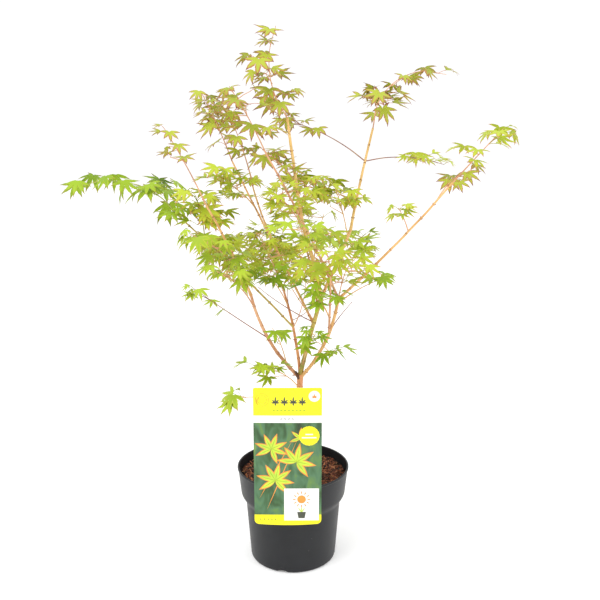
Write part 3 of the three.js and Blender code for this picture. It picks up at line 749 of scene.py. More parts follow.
def bark_finish(name, warm, light, painted_shade, scar):
    """Young bark of a maple: smooth and waxy, with fine streaks along it about 1.2 mm apart,
    slow drifts of colour every few centimetres, and small dark pores."""
    material = blank_material(name)
    place = add_node(material, "ShaderNodeTexCoord").outputs["Object"]
    drift = add_node(
        material, "ShaderNodeTexNoise",
        inputs={"Vector": place, "Scale": 1 / (26 * MM), "Detail": 3},
    )
    ground = add_node(
        material, "ShaderNodeValToRGB",
        {"stops": [(0.3, linear(painted_shade)), (0.48, linear(warm)), (0.7, linear(light))]},
        {"Fac": drift.outputs[0]},
    )
    drawn_out = add_node(
        material, "ShaderNodeMapping", inputs={"Vector": place, "Scale": (1, 1, 0.14)}
    )
    streaks = add_node(
        material, "ShaderNodeTexNoise",
        inputs={"Vector": drawn_out.outputs[0], "Scale": 1 / (1.2 * MM), "Detail": 3},
    )
    streak_mask = add_node(
        material, "ShaderNodeMapRange",
        inputs={"Value": streaks.outputs[0], "From Min": 0.35, "From Max": 0.75, "To Max": 0.5},
    )
    streaked = add_node(
        material, "ShaderNodeMix", {"data_type": "RGBA"},
        {MIX_SHARE: streak_mask.outputs[0], MIX_FIRST: ground.outputs[0],
         MIX_SECOND: linear(painted_shade)},
    )
    pores = add_node(
        material, "ShaderNodeTexVoronoi", inputs={"Vector": place, "Scale": 1 / (3.4 * MM)}
    )
    pore_mask = add_node(
        material, "ShaderNodeValToRGB",
        {"stops": [(0.08, (0.8, 0.8, 0.8, 1)), (0.17, (0, 0, 0, 1))]},
        {"Fac": pores.outputs["Distance"]},
    )
    spotted = add_node(
        material, "ShaderNodeMix", {"data_type": "RGBA"},
        {MIX_SHARE: pore_mask.outputs[0], MIX_FIRST: streaked.outputs[MIXED],
         MIX_SECOND: linear(scar)},
    )
    relief = add_node(
        material, "ShaderNodeBump",
        inputs={"Strength": 0.45, "Distance": 0.35 * MM, "Height": streaks.outputs[0]},
    )
    skin = add_node(
        material, "ShaderNodeBsdfPrincipled",
        inputs={
            "Base Color": spotted.outputs[MIXED], "Roughness": 0.5, "Normal": relief.outputs[0],
            "Coat Weight": 0.15, "Coat Roughness": 0.4,
        },
    )
    add_node(material, "ShaderNodeOutputMaterial", inputs={"Surface": skin.outputs[0]})
    return material


BARKS = {
    "salmon": bark_finish("salmon_bark", "dd9560", "eeac74", "b67244", "7c4226"),
    "peach": bark_finish("peach_bark", "e3b06c", "f2c88c", "c08c52", "8a5a34"),
    "amber": bark_finish("amber_bark", "e6bb6c", "f4d090", "bd9650", "8a663a"),
    "olive": bark_finish("olive_bark", "c3a34e", "d8bf68", "93903c", "6e5e2c"),
    "rose": bark_finish("rose_bark", "dba074", "eab98e", "b67e5a", "7e4e38"),
    "green": bark_finish("green_bark", "a0a64c", "bfb662", "7f8a3e", "66642c"),
}
LIMB_BARKS = {
    "trunk": "salmon", "left_bough": "rose", "left_upper": "peach", "right_bough": "peach",
    "right_outer": "peach", "crossing_stem": "rose", "leader_foot": "olive", "leader": "amber",
    "leader_upper": "amber", "centre_bough": "salmon", "far_left_stem": "olive",
    "long_stem": "peach", "twin_stem": "peach", "right_back": "peach",
    "right_back_upper": "amber", "back_bough": "rose", "front_bough": "rose",
}
limbs = {"trunk": (course((0, 0, TRUNK_START), *TRUNK_SHAPE, LIMB_STEPS), None)}
for name, parent, share, bearing, rise, length, across in LIMBS:
    start = point_along(limbs[parent][0], share)
    limbs[name] = (course(start, bearing, rise, length, LIMB_STEPS), across)


def limb_radius(name, share):
    """Radius of a limb as its solid has it, without joints, collar or root flare."""
    if name != "trunk":
        return between(limbs[name][1], share) / 2
    foot = FOOT_SWELL[0] * math.exp(-share / FOOT_SWELL[1])
    fork = FORK_SWELL[0] * math.exp((share - 1) / FORK_SWELL[1])
    return TRUNK_RADIUS + foot + fork


LINE_SPACING, TRUNK_ROUNDNESS, LIMB_ROUNDNESS = 1.6, 6, 4
FIRST_JOINT, JOINT_SPACING, JOINT_WANDER, LAST_JOINT = (18, 28), 32, 5, 6
JOINT_SWELL, JOINT_WIDTH = 0.14, 1.8
COLLAR_SWELL, COLLAR_LENGTH = 0.28, 5
TRUNK_SWAY, LIMB_SWAY, SWAY_LENGTH, SWAY_SEED = 0.56, 0.8, 34, 4
STREAK_RELIEF, STREAK_WIDTH, STREAK_LENGTH = 0.11, 1.6, 9
LUMP_RELIEF, LUMP_WIDTH = 0.14, 5
ROOT_FLARE, FLARE_FOOT, FLARE_HEIGHT = ((0.9, 3, 0.6), (0.5, 5, 0)), 151, 14
SCAR_HALF, SCAR_PROUD, STEP_AHEAD = 0.45, 0.12, 0.004
BUD_RADII, BUD_SEAT, BUD_LIFT, BUD_SPREAD, BUD_RISE = [0.7, 0.65, 0.15], 0.8, 0.4, 1.5, 1.7
LIMB_SEED = 100
# Without a seed, noise vectors would change from run to run
noise.seed_set(SWAY_SEED)
scar_lines = []
for number, (name, (points, across)) in enumerate(limbs.items()):
    line = smoothed(points, LINE_SPACING)
    shares = numpy.arange(len(line)) / (len(line) - 1)
    span = float(numpy.linalg.norm(numpy.diff(line, axis=0), axis=1).sum())
    limb_draw = numpy.random.default_rng(LIMB_SEED + number)
    first = between(FIRST_JOINT, limb_draw.random())
    joints = numpy.arange(first, span - LAST_JOINT, JOINT_SPACING)
    joints = joints + limb_draw.uniform(-JOINT_WANDER, JOINT_WANDER, len(joints))
    radii = []
    for share in shares:
        far = span * share
        swell = sum(math.exp(-((far - joint) / JOINT_WIDTH) ** 2) for joint in joints)
        collar = COLLAR_SWELL * math.exp(-far / COLLAR_LENGTH) if name != "trunk" else 0
        radii.append(limb_radius(name, share) * (1 + JOINT_SWELL * swell + collar))
    sway_width = TRUNK_SWAY if name == "trunk" else LIMB_SWAY
    apart = Vector((number, 0, 0))
    sway = numpy.array([noise.noise_vector(Vector(spot) / SWAY_LENGTH + apart)[:] for spot in line])
    line = line + sway * (sway_width * numpy.sin(math.pi * shares))[:, None]
    roundness = TRUNK_ROUNDNESS if name == "trunk" else LIMB_ROUNDNESS
    mesh = tubes("limb_" + name, [(line, radii, 0)], roundness)
    normals = [vert.normal.copy() for vert in mesh.vertices]
    for vert, normal in zip(mesh.vertices, normals):
        spot = vert.co / MM
        streak = (spot.x / STREAK_WIDTH, spot.y / STREAK_WIDTH, spot.z / STREAK_LENGTH)
        lift = noise.noise(Vector(streak)) * STREAK_RELIEF
        lift += noise.noise(spot / LUMP_WIDTH) * LUMP_RELIEF
        if name == "trunk":
            turn = math.atan2(spot.y, spot.x)
            foot = math.exp(-max(0, spot.z - FLARE_FOOT) / FLARE_HEIGHT)
            lift += foot * sum(
                height * math.cos(waves * turn + start) for height, waves, start in ROOT_FLARE
            )
        vert.co += normal * lift * MM
    limb = put("limb_" + name, mesh, [BARKS[LIMB_BARKS[name]]], 60)
    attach(limb, "root")
    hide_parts(name)
    # A leaf scar goes round each joint, with a pair of small buds on it
    for joint in joints:
        middle = point_along(line, joint / span)
        ahead = point_along(line, min(1, joint / span + STEP_AHEAD)) - middle
        ahead = ahead / numpy.linalg.norm(ahead)
        girth = radii[int(joint / span * (len(line) - 1))]
        scar = [middle - ahead * SCAR_HALF, middle + ahead * SCAR_HALF]
        scar_lines.append((scar, [girth + SCAR_PROUD] * 2, 0))
        turn = limb_draw.random() * 180
        for side in (0, 180):
            aside = numpy.cross(ahead, heading(turn + side, 0))
            aside = aside / numpy.linalg.norm(aside)
            root = middle + aside * girth * BUD_SEAT + ahead * BUD_LIFT
            tip = root + aside * BUD_SPREAD + ahead * BUD_RISE
            scar_lines.append(([root, (root + tip) / 2, tip], BUD_RADII, 1))

# A leaf scar rings each joint of a limb, and a pair of small buds sits on it. Bud scales and
# scars are dry, dark red-brown and dull, with a fibrous grain under a millimetre.
scar_finish = bark_chip_finish("dry_leaf_scars", "9c5c3c", "6e3a28")
bud_finish = bark_chip_finish("dry_bud_scales", "a8503c", "7a3630")
scar_mesh = tubes("leaf_scars_and_buds", scar_lines, 2)
scars = put("leaf_scars_and_buds", scar_mesh, [scar_finish, bud_finish])
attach(scars, "root")

# A dead snag stands at the fork: the grey-brown stub of a stem that was cut back, dry and rough,
# with a split end. It leans out to the front left.
SNAG_PLACES = [(-1, -1, -3), (-4, -4.5, 3), (-6.5, -6, 9), (-7.5, -6.5, 13)]
SNAG_SHARE, SNAG_SPACING, SNAG_RADII = 0.97, 1, (3.4, 1.9)
SNAG_ROUGHNESS, SNAG_GRAIN = 0.7, 1.8
SPLIT_HEIGHT, SPLIT_DEPTH, SPLIT_GRAIN = 3.5, 5, 1.1
snag_foot = point_along(limbs["trunk"][0], SNAG_SHARE)
snag_line = smoothed(snag_foot + numpy.array(SNAG_PLACES), SNAG_SPACING)
snag_radii = [between(SNAG_RADII, i / (len(snag_line) - 1)) for i in range(len(snag_line))]
snag_mesh = tubes("dead_snag", [(snag_line, snag_radii, 0)], 3)
snag_top = max(vert.co.z for vert in snag_mesh.vertices)
for vert in snag_mesh.vertices:
    vert.co += vert.normal * (noise.noise(vert.co / (SNAG_GRAIN * MM)) * SNAG_ROUGHNESS * MM)
    if vert.co.z > snag_top - SPLIT_HEIGHT * MM:
        vert.co.z -= abs(noise.noise(vert.co / (SPLIT_GRAIN * MM))) * SPLIT_DEPTH * MM
snag = put("dead_snag", snag_mesh, [bark_chip_finish("dead_grey_wood", "6e4a36", "38231a")], 30)
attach(snag, "root")

# Sprays of foliage grow from one table, by the rule that follows it: a stem with pairs of side
# growths, and leaves that keep clear of limbs, of each other and of other sprays. Columns: name,
# limb it grows on, share, bearing, rise, length, pairs, bare share, longest lobe, seed.
SPRAYS = [
    ("left_top", "left_upper", 1, (212, 212), (65, 57), 128, 3, 0.5, 25, 15),
    ("far_left", "far_left_stem", 1, (193, 188), (58, -26), 184, 6, 0.03, 38, 30),
    ("leader_top", "leader_upper", 1, (181, 181), (53, 113), 146, 7, 0.06, 32, 40),
    ("high_left", "long_stem", 1, (154, 154), (67, 59), 135, 5, 0.15, 33, 57),
    ("high_middle", "twin_stem", 1, (205, 205), (75, 65), 112, 4, 0.3, 32, 21),
    ("right_back_top", "right_back_upper", 1, (5, -5), (93, -21), 181, 6, 0.05, 33, 52),
    ("left_arch", "right_back_upper", 0.68, (211, 209), (35, 15), 157, 2, 0.62, 31, 2),
    ("right_arch", "right_back_upper", 0.68, (353, 350), (14, -18), 138, 2, 0.5, 31, 31),
    ("right_tip", "right_outer", 1, (336, 339), (49, 48), 99, 4, 0.3, 29, 9),
    ("crossing_top", "crossing_stem", 1, (195, 195), (66, 56), 110, 4, 0.3, 32, 51),
    ("low_left_twig", "left_bough", 0.53, (206, 216), (36, 38), 163, 3, 0.42, 27, 9),
    ("left_shoulder", "far_left_stem", 0.8, (261, 261), (74, 44), 88, 3, 0.3, 37, 44),
    ("left_mid", "left_upper", 0.2, (234, 234), (50, 20), 143, 4, 0.3, 38, 32),
    ("left_low", "left_bough", 0.85, (246, 246), (50, 20), 136, 3, 0.3, 38, 31),
    ("centre_back_left", "centre_bough", 1, (123, 123), (56, 30), 121, 4, 0.2, 36, 31),
    ("centre_left", "centre_bough", 0.87, (245, 245), (60, 40), 132, 4, 0.35, 36, 37),
    ("leader_left", "leader_upper", 0.41, (146, 146), (47, 27), 84, 3, 0.35, 33, 10),
    ("leader_front", "leader", 0.95, (237, 237), (49, 29), 101, 3, 0.3, 34, 18),
    ("leader_right", "leader_upper", 0.2, (56, 56), (54, 24), 64, 4, 0.3, 34, 51),
    ("centre_right", "leader", 0.5, (73, 73), (62, 36), 97, 4, 0.3, 35, 30),
    ("right_back_mid", "right_back", 0.9, (114, 114), (69, 43), 110, 4, 0.3, 35, 10),
    ("right_back_low", "right_back", 0.46, (46, 46), (44, 18), 97, 3, 0.3, 35, 18),
    ("high_side", "long_stem", 0.72, (224, 224), (48, 14), 109, 4, 0.2, 34, 23),
    ("right_front", "right_bough", 1, (277, 277), (52, 28), 104, 3, 0.3, 34, 12),
    ("crossing_side", "crossing_stem", 0.35, (251, 251), (41, 17), 88, 3, 0.3, 34, 25),
    ("right_twig", "right_bough", 0.95, (15, 15), (36, 16), 85, 1, 0.9, 34, 42),
    ("low_right", "right_bough", 0.3, (319, 319), (36, 12), 57, 3, 0.35, 34, 21),
    ("low_centre", "leader_foot", 0.1, (284, 284), (55, 31), 115, 4, 0.25, 34, 11),
    ("low_left", "left_bough", 0.2, (251, 251), (62, 38), 103, 2, 0.45, 34, 12),
    ("low_front", "trunk", 0.86, (207, 207), (54, 4), 103, 3, 0.35, 36, 9),
    ("right_mid", "right_outer", 0.86, (39, 39), (51, 17), 72, 3, 0.3, 33, 20),
    ("right_low", "right_outer", 0.62, (244, 244), (49, 29), 63, 2, 0.4, 26, 35),
    ("back_top", "back_bough", 1, (114, 114), (59, 35), 146, 4, 0.2, 36, 57),
    ("back_side", "back_bough", 0.95, (50, 50), (29, -1), 93, 3, 0.3, 36, 14),
    ("back_left", "back_bough", 0.51, (125, 125), (29, -5), 141, 4, 0.3, 36, 7),
    ("front_top", "front_bough", 1, (262, 262), (51, 17), 86, 4, 0.15, 36, 5),
    ("front_left", "front_bough", 0.35, (223, 223), (64, 30), 81, 5, 0.15, 36, 46),
    ("left_inner", "far_left_stem", 0.45, (131, 131), (49, 15), 107, 4, 0.3, 38, 32),
    ("centre_low", "centre_bough", 0.75, (250, 250), (46, 26), 141, 3, 0.4, 36, 58),
    ("low_side", "trunk", 0.5, (214, 214), (59, -1), 151, 1, 0.8, 42, 43),
]
# The rule's values: lengths in millimetres, angles in degrees, spans from least to most
STEM_STEPS = 4
TWIG_LENGTH, TWIG_RISE, TWIG_CHANCE = (20, 36), (0, 30), 0.16
SIDE_SWING, END_SWING, END_PAIR_SHARE = (50, 85), 50, 0.92
LEAF_SIZES, END_LEAF, TIP_SHRINK = (0.85, 1.15), 0.7, 0.25
STALK_SHARE, STALK_RISE, STALK_RADIUS = (0.45, 0.75), (5, 40), 0.5
BLADE_DROOP, BLADE_ROLL, TURN_ASIDE = (15, 60), 22, 28
LOBES = [(0, 1, 8), (37, 0.97, 11), (75, 0.82, 14), (120, 0.42, 16)]
YOUNG_LEAF, YOUNG_LOBES, LEAF_TRIES = 33, 3, 5
LOBE_CHECKS, STALK_CHECKS = (0.35, 0.7, 1), (0.5, 0.8)
LOBE_HALF_WIDTH, LEAF_CLEARANCE = 3, 1
LIMB_CLEARANCE, SPRAY_CLEARANCE, LABEL_CLEARANCE = 1.4, 1.2, 4


def seeded(state):
    """The same draws each time, in a fixed order, from one whole number."""
    while True:
        state = (state * 1664525 + 1013904223) % 4294967296
        yield state / 4294967296


def leaf_pose(root, bearing, size, draws):
    """Where a leaf lies: its stalk's root, its hub, and the directions of its blade."""
    aside, lift, stalk, droop, roll = draws
    ahead = bearing + TURN_ASIDE * (2 * aside - 1)
    hub = root + heading(ahead, between(STALK_RISE, lift)) * size * between(STALK_SHARE, stalk)
    forward = heading(ahead, -between(BLADE_DROOP, droop))
    tilt = math.radians(BLADE_ROLL * (2 * roll - 1))
    level = heading(ahead + 90, 0)
    side = level * math.cos(tilt) + numpy.cross(forward, level) * math.sin(tilt)
    side = side + forward * float(forward @ level) * (1 - math.cos(tilt))
    return {
        "root": root, "hub": hub, "forward": forward, "side": side,
        "normal": numpy.cross(forward, side), "size": size,
    }


def lobes_of(size):
    """Turn, reach and hang of a leaf's lobes, from the right of its stalk round to its left."""
    kinds = LOBES[:YOUNG_LOBES] if size < YOUNG_LEAF else LOBES
    return [(-turn, reach, hang) for turn, reach, hang in kinds[:0:-1]] + kinds


def leaf_places(leaf):
    """Places on a leaf that have to be clear, and the half width of the leaf at each."""
    places = [leaf["hub"]]
    widths = [LOBE_HALF_WIDTH]
    for share in STALK_CHECKS:
        places.append(leaf["root"] + (leaf["hub"] - leaf["root"]) * share)
        widths.append(STALK_RADIUS)
    for turn, reach, hang in lobes_of(leaf["size"]):
        angle, fall = math.radians(turn), math.radians(hang)
        for share in LOBE_CHECKS:
            far = reach * leaf["size"] * share
            places.append(
                leaf["hub"] + leaf["forward"] * far * math.cos(fall) * math.cos(angle)
                + leaf["side"] * far * math.cos(fall) * math.sin(angle)
                - leaf["normal"] * far * math.sin(fall)
            )
            widths.append(LOBE_HALF_WIDTH if share < 1 else 0)
    return numpy.array(places), numpy.array(widths, float)


def distances(places, starts, ends):
    """Distance from each place to each straight step between a start and an end."""
    along = ends - starts
    share = ((places[:, None] - starts) * along).sum(-1) / (along * along).sum(-1)
    nearest = starts + along * numpy.clip(share, 0, 1)[..., None]
    return numpy.linalg.norm(places[:, None] - nearest, axis=-1)


# Every straight step of the limbs, with the radius that leaves keep clear of
limb_starts = numpy.concatenate([points[:-1] for points, _ in limbs.values()])
limb_ends = numpy.concatenate([points[1:] for points, _ in limbs.values()])
limb_girths = numpy.repeat(
    [max(limb_radius(name, 0.3), limb_radius(name, 0)) for name in limbs], LIMB_STEPS
)
# The stem of each spray, from its foot on its limb
stems = [
    course(point_along(limbs[parent][0], share), bearing, rise, length, STEM_STEPS)
    for _, parent, share, bearing, rise, length, *_ in SPRAYS
]


def by_label(places, front):
    """Whether any of the places is too near the label, or before it and nearer than this."""
    near = numpy.abs(places[:, 0] - LABEL_MIDDLE) < LABEL_HALF + LABEL_CLEARANCE
    near &= places[:, 2] < LABEL_TOP + LABEL_CLEARANCE
    return bool((near & (places[:, 1] < front)).any())


def leaf_fits(leaf, own, taken):
    """A leaf is kept only clear of limbs, and nearer its own stem than any other."""
    places, widths = leaf_places(leaf)
    if by_label(places, LABEL_CLEARANCE + LABEL_FRONT / 2):
        return False
    if taken[0]:
        spots, girths = numpy.concatenate(taken[0]), numpy.concatenate(taken[1])
        apart = numpy.linalg.norm(places[:, None] - spots, axis=-1)
        if (apart < (widths + LEAF_CLEARANCE)[:, None] + girths).any():
            return False
    room = limb_girths + LIMB_CLEARANCE + widths[:, None]
    if (distances(places, limb_starts, limb_ends) < room).any():
        return False
    home = distances(places, stems[own][:-1], stems[own][1:]).min(-1) + widths + SPRAY_CLEARANCE
    others = [stem for i, stem in enumerate(stems) if i != own]
    starts = numpy.concatenate([stem[:-1] for stem in others])
    ends = numpy.concatenate([stem[1:] for stem in others])
    return bool((distances(places, starts, ends).min(-1) > home).all())


def grow_spray(own):
    """Leaves and side twigs of one spray. All draws are made before a leaf is tried."""
    bearings, _, _, pairs, bare, lobe, seed = SPRAYS[own][3:]
    stem, draw = stems[own], seeded(seed)
    grown = {"leaves": [], "twigs": []}
    taken = ([], [])

    def try_leaf(root, bearing, size):
        tries = [[next(draw) for _ in range(5)] for _ in range(LEAF_TRIES)]
        for draws in tries:
            leaf = leaf_pose(root, bearing, size, draws)
            if leaf_fits(leaf, own, taken):
                places, widths = leaf_places(leaf)
                taken[0].append(places)
                taken[1].append(widths)
                grown["leaves"].append(leaf)
                return True
        return False

    def try_end(line, bearing, size):
        pair = point_along(line, END_PAIR_SHARE)
        right = try_leaf(pair, bearing - END_SWING, size)
        left = try_leaf(pair, bearing + END_SWING, size)
        middle = try_leaf(line[-1], bearing, size * END_LEAF)
        return right or left or middle

    for pair in range(pairs):
        share = between((bare, 1), (pair + 0.5) / pairs)
        node = point_along(stem, share)
        for hand in (-1, 1):
            swing, growth, fork, reach, lift = [next(draw) for _ in range(5)]
            bearing = between(bearings, share) + hand * between(SIDE_SWING, swing)
            size = lobe * between(LEAF_SIZES, growth) * (1 - TIP_SHRINK * share)
            if fork < TWIG_CHANCE:
                rise, length = between(TWIG_RISE, lift), between(TWIG_LENGTH, reach)
                line = course(node, (bearing, bearing), (rise, rise), length, 1)
                if try_end(line, bearing, size):
                    grown["twigs"].append(line)
            else:
                try_leaf(node, bearing, size)
    try_end(stem, bearings[1], lobe * (1 - TIP_SHRINK))
    return grown


growth = [grow_spray(own) for own in range(len(SPRAYS))]

# Finer side shoots carry smaller leaves between the first ones, within their reach. They keep off
# every leaf and limb. Here: how many are tried on each spray, and the seed of their draws.
FINE_SHOOTS = {
    "left_top": (0, 1), "far_left": (3, 1), "leader_top": (2, 26), "high_left": (2, 47),
    "high_middle": (3, 14), "right_back_top": (5, 36), "left_arch": (1, 14),
    "right_arch": (3, 22), "right_tip": (1, 24), "crossing_top": (2, 34),
    "low_left_twig": (1, 45), "left_shoulder": (13, 33), "left_mid": (6, 19), "left_low": (10, 4),
    "centre_back_left": (13, 64), "centre_left": (13, 58), "leader_left": (3, 61),
    "leader_front": (9, 51), "leader_right": (10, 55), "centre_right": (2, 53),
    "right_back_mid": (9, 27), "right_back_low": (3, 18), "high_side": (8, 29),
    "right_front": (9, 54), "crossing_side": (3, 51), "right_twig": (1, 18),
    "low_right": (1, 35), "low_centre": (1, 4), "low_left": (2, 62), "low_front": (2, 416),
    "right_mid": (1, 12), "right_low": (1, 18), "back_top": (4, 10), "back_side": (3, 37),
    "back_left": (13, 30), "front_top": (4, 57), "front_left": (3, 26), "left_inner": (13, 24),
    "centre_low": (8, 47), "low_side": (2, 11),
}
FINE_LENGTH, FINE_RISE, FINE_FALL = (8, 30), (-10, 50), 20
FINE_LEAF, FINE_END_LEAF, FINE_DROOP = (0.75, 1), 0.8, (1, 1, 1, 0.4, 1)
FINE_GIRTH, FINE_GAP, LEAF_SPREAD = 1.4, 0.5, 2.4
all_spots = numpy.concatenate(
    [leaf_places(leaf)[0] for grown in growth for leaf in grown["leaves"]]
)


def fine_leaf_fits(leaf, spots):
    """A small leaf is kept only where it is clear of the label, of other leaves and of limbs."""
    places = leaf_places(leaf)[0][1:]
    if by_label(places, LABEL_FRONT / 2):
        return False
    near = spots[numpy.linalg.norm(spots - leaf["hub"], axis=1) < LEAF_SPREAD * leaf["size"]]
    apart = numpy.linalg.norm(places[:, None] - near, axis=-1)
    if (apart < 2 * FINE_GIRTH + FINE_GAP).any():
        return False
    room = limb_girths + FINE_GAP + FINE_GIRTH
    return bool((distances(places, limb_starts, limb_ends) > room).all())


def grow_fine_shoots(own, number, seed, spots):
    """Shoots of one spray with up to three leaves each; each comes with its leaves."""
    bare, lobe = SPRAYS[own][7:9]
    draw = numpy.random.default_rng(seed)
    shoots = []
    for _ in range(number):
        share = between((bare, 1), draw.random())
        bearing, rise = draw.uniform(0, 360), draw.uniform(*FINE_RISE)
        root, length = point_along(stems[own], share), draw.uniform(*FINE_LENGTH)
        shoot = course(root, (bearing, bearing), (rise, rise - FINE_FALL), length, 2)
        size = lobe * (1 - TIP_SHRINK * share) * draw.uniform(*FINE_LEAF)
        fitted = []
        for swing, scale in ((-END_SWING, 1), (END_SWING, 1), (0, FINE_END_LEAF)):
            for _ in range(LEAF_TRIES):
                draws = draw.random(5) * FINE_DROOP
                leaf = leaf_pose(shoot[-1], bearing + swing, size * scale, draws)
                if fine_leaf_fits(leaf, spots):
                    fitted.append(leaf)
                    spots = numpy.concatenate([spots, leaf_places(leaf)[0][1:]])
                    break
        shoots.append((shoot, fitted))
    return shoots, spots


for own, spray in enumerate(SPRAYS):
    shoots, all_spots = grow_fine_shoots(own, *FINE_SHOOTS[spray[0]], all_spots)
    for shoot, fitted in shoots:
        if fitted:
            growth[own]["leaves"] += fitted
            growth[own]["twigs"].append(shoot)

# Leaves are thin blades of five or seven lobes on a fine stalk, each lobe toothed, folded along
# its midrib and hanging at its tip. One half of a lobe is laid out by these places: share of the
# lobe's length, and half width as a share of it.
HALF_LOBE = {
    "rib_low": (0.3, 0), "rib_middle": (0.56, 0), "rib_high": (0.8, 0), "tip": (1, 0),
    "inner": (0.52, 0.05), "tooth_low": (0.43, 0.118), "step_low": (0.49, 0.1),
    "tooth_high": (0.62, 0.094), "step_high": (0.68, 0.065), "tooth_tip": (0.84, 0.026),
}
NOTCH_REACH, HEEL_REACH, HEEL_TURN = 0.3, 0.16, 30
SMALL_LOBE, SMALL_LOBE_WIDTH, OUTER_TURN = 0.5, 1.3, 75
# Size of each leaf against that of its solid: less on crowded sprays and more on open ones
LEAF_GROWTH = 1.12
GROWTH_OF_SOME = {
    0.94: {
        "front_top", "right_front", "leader_front", "low_centre", "front_left", "left_mid",
        "centre_low", "left_low", "centre_left", "crossing_side",
    },
    1.2: {"low_front", "low_side", "leader_top", "right_tip", "right_back_top"},
}
# Least and most of a leaf's bend, fold, breadth, added bend of its outer lobes, and lift, which
# holds its lobes out flat. Leaves that hang have less of that lift.
LEAF_HOLD = (0.5, 0.1, 0.9, -0.3, 0.3), (1.3, 0.6, 1.1, 0.2, 0.7)
HANGING_LIFT, HANGING = 0.35, {"far_left", "left_mid", "left_low", "low_side", "low_left_twig"}
INNER_LIFT, OUTER_LIFT = 0.7, 0.3
# Each lobe bends a little more or less than the one beside it
WAVER, WAVER_TURNS, WAVER_START = 0.12, 7, 40
# Four leaves in ten, drawn at random, take the darker blade tone: partly their own tone, partly
# painted shade
PAINTED_SHADE_LEAVES, LEAF_SEED = 0.4, 500
BLADE, MARGIN, TIP = 0, 2, 3
HALF_LOBE_FACES = [
    (["hub", "rib_low", "notch"], BLADE),
    (["rib_low", "rib_middle", "inner", "notch"], BLADE),
    (["rib_middle", "rib_high", "inner"], BLADE),
    (["notch", "inner", "step_low", "tooth_low"], MARGIN),
    (["inner", "rib_high", "step_high", "tooth_high", "step_low"], MARGIN),
    (["rib_high", "tip", "tooth_tip", "step_high"], TIP),
]
SMALL_LOBE_FACES = [
    (["hub", "rib_middle", "notch"], BLADE),
    (["rib_middle", "tip", "tooth_high", "notch"], TIP),
]


def leaf_pattern(size):
    """A leaf one unit long: rows of lobe direction, place along and across it, and the faces."""
    lobes = lobes_of(size)
    turns = [lobe[0] for lobe in lobes]
    rows, faces, zones, numbers = [], [], [], {}

    def spot(key, turn, far, aside):
        if key not in numbers:
            numbers[key] = len(rows)
            angle = math.radians(turn)
            rows.append((math.cos(angle), math.sin(angle), far, aside, abs(turn) / OUTER_TURN))
        return numbers[key]

    for number, (turn, reach, _) in enumerate(lobes):
        small = reach < SMALL_LOBE
        for hand in (-1, 1):
            beside = number + hand
            if 0 <= beside < len(lobes):
                notch_turn = (turn + turns[beside]) / 2
                notch_far = NOTCH_REACH * min(reach, lobes[beside][1]) ** 0.5
                notch_key = ("notch", min(number, beside))
            else:
                notch_turn, notch_far = turn + hand * HEEL_TURN, HEEL_REACH * reach
                notch_key = ("heel", hand)
            corners = {
                "hub": spot("hub", 0, 0, 0),
                "notch": spot(notch_key, notch_turn, notch_far, 0),
            }
            for name, (far, aside) in HALF_LOBE.items():
                key = (name, number) if aside == 0 else (name, number, hand)
                if not small or name in ("rib_middle", "tip", "tooth_high"):
                    wide = aside * reach * hand * (SMALL_LOBE_WIDTH if small else 1)
                    corners[name] = spot(key, turn, far * reach, wide)
            for names, zone in SMALL_LOBE_FACES if small else HALF_LOBE_FACES:
                face = [corners[name] for name in names]
                faces.append(face if hand == 1 else face[::-1])
                zones.append(zone)
    return numpy.array(rows), faces, zones


PATTERNS = {True: leaf_pattern(YOUNG_LEAF - 1), False: leaf_pattern(YOUNG_LEAF)}


def laid_leaf(leaf, draw, growth_share, raised):
    """Corners, faces and zones of one leaf. Its lobes are held out and bend down at their tips,
    each a little differently, and the two halves of each fold down along its midrib."""
    rows, faces, zones = PATTERNS[leaf["size"] < YOUNG_LEAF]
    cosine, sine, far, aside, outer = rows.T
    bend, fold, breadth, outer_bend, lift = draw.uniform(*LEAF_HOLD)
    waver = WAVER * numpy.sin(WAVER_TURNS * sine + WAVER_START * bend)
    arc = bend * (1 + outer_bend * outer) + waver
    ahead = numpy.sin(arc * far) / arc
    fall = (1 - numpy.cos(arc * far)) / arc + abs(aside) * fold
    fall = fall - raised * lift * far * (INNER_LIFT + OUTER_LIFT * outer)
    x = cosine * ahead - sine * aside * breadth
    y = sine * ahead + cosine * aside * breadth
    points = leaf["hub"] + growth_share * leaf["size"] * (
        x[:, None] * leaf["forward"] + y[:, None] * leaf["side"] - fall[:, None] * leaf["normal"]
    )
    # The darker blade tone is partly the leaf's own tone and partly painted shade
    painted_shade = int(draw.random() < PAINTED_SHADE_LEAVES)
    return points, faces, [zone + painted_shade if zone == BLADE else zone for zone in zones]


def blade_finish(name, tone, roughness):
    """Living leaf tissue: a plain base colour, with the soft gloss of its wax."""
    material = blank_material(name)
    leaf_skin = add_node(
        material, "ShaderNodeBsdfPrincipled",
        inputs={"Base Color": linear(tone), "Roughness": roughness, "Specular IOR Level": 0.2},
    )
    add_node(material, "ShaderNodeOutputMaterial", inputs={"Surface": leaf_skin.outputs[0]})
    return material


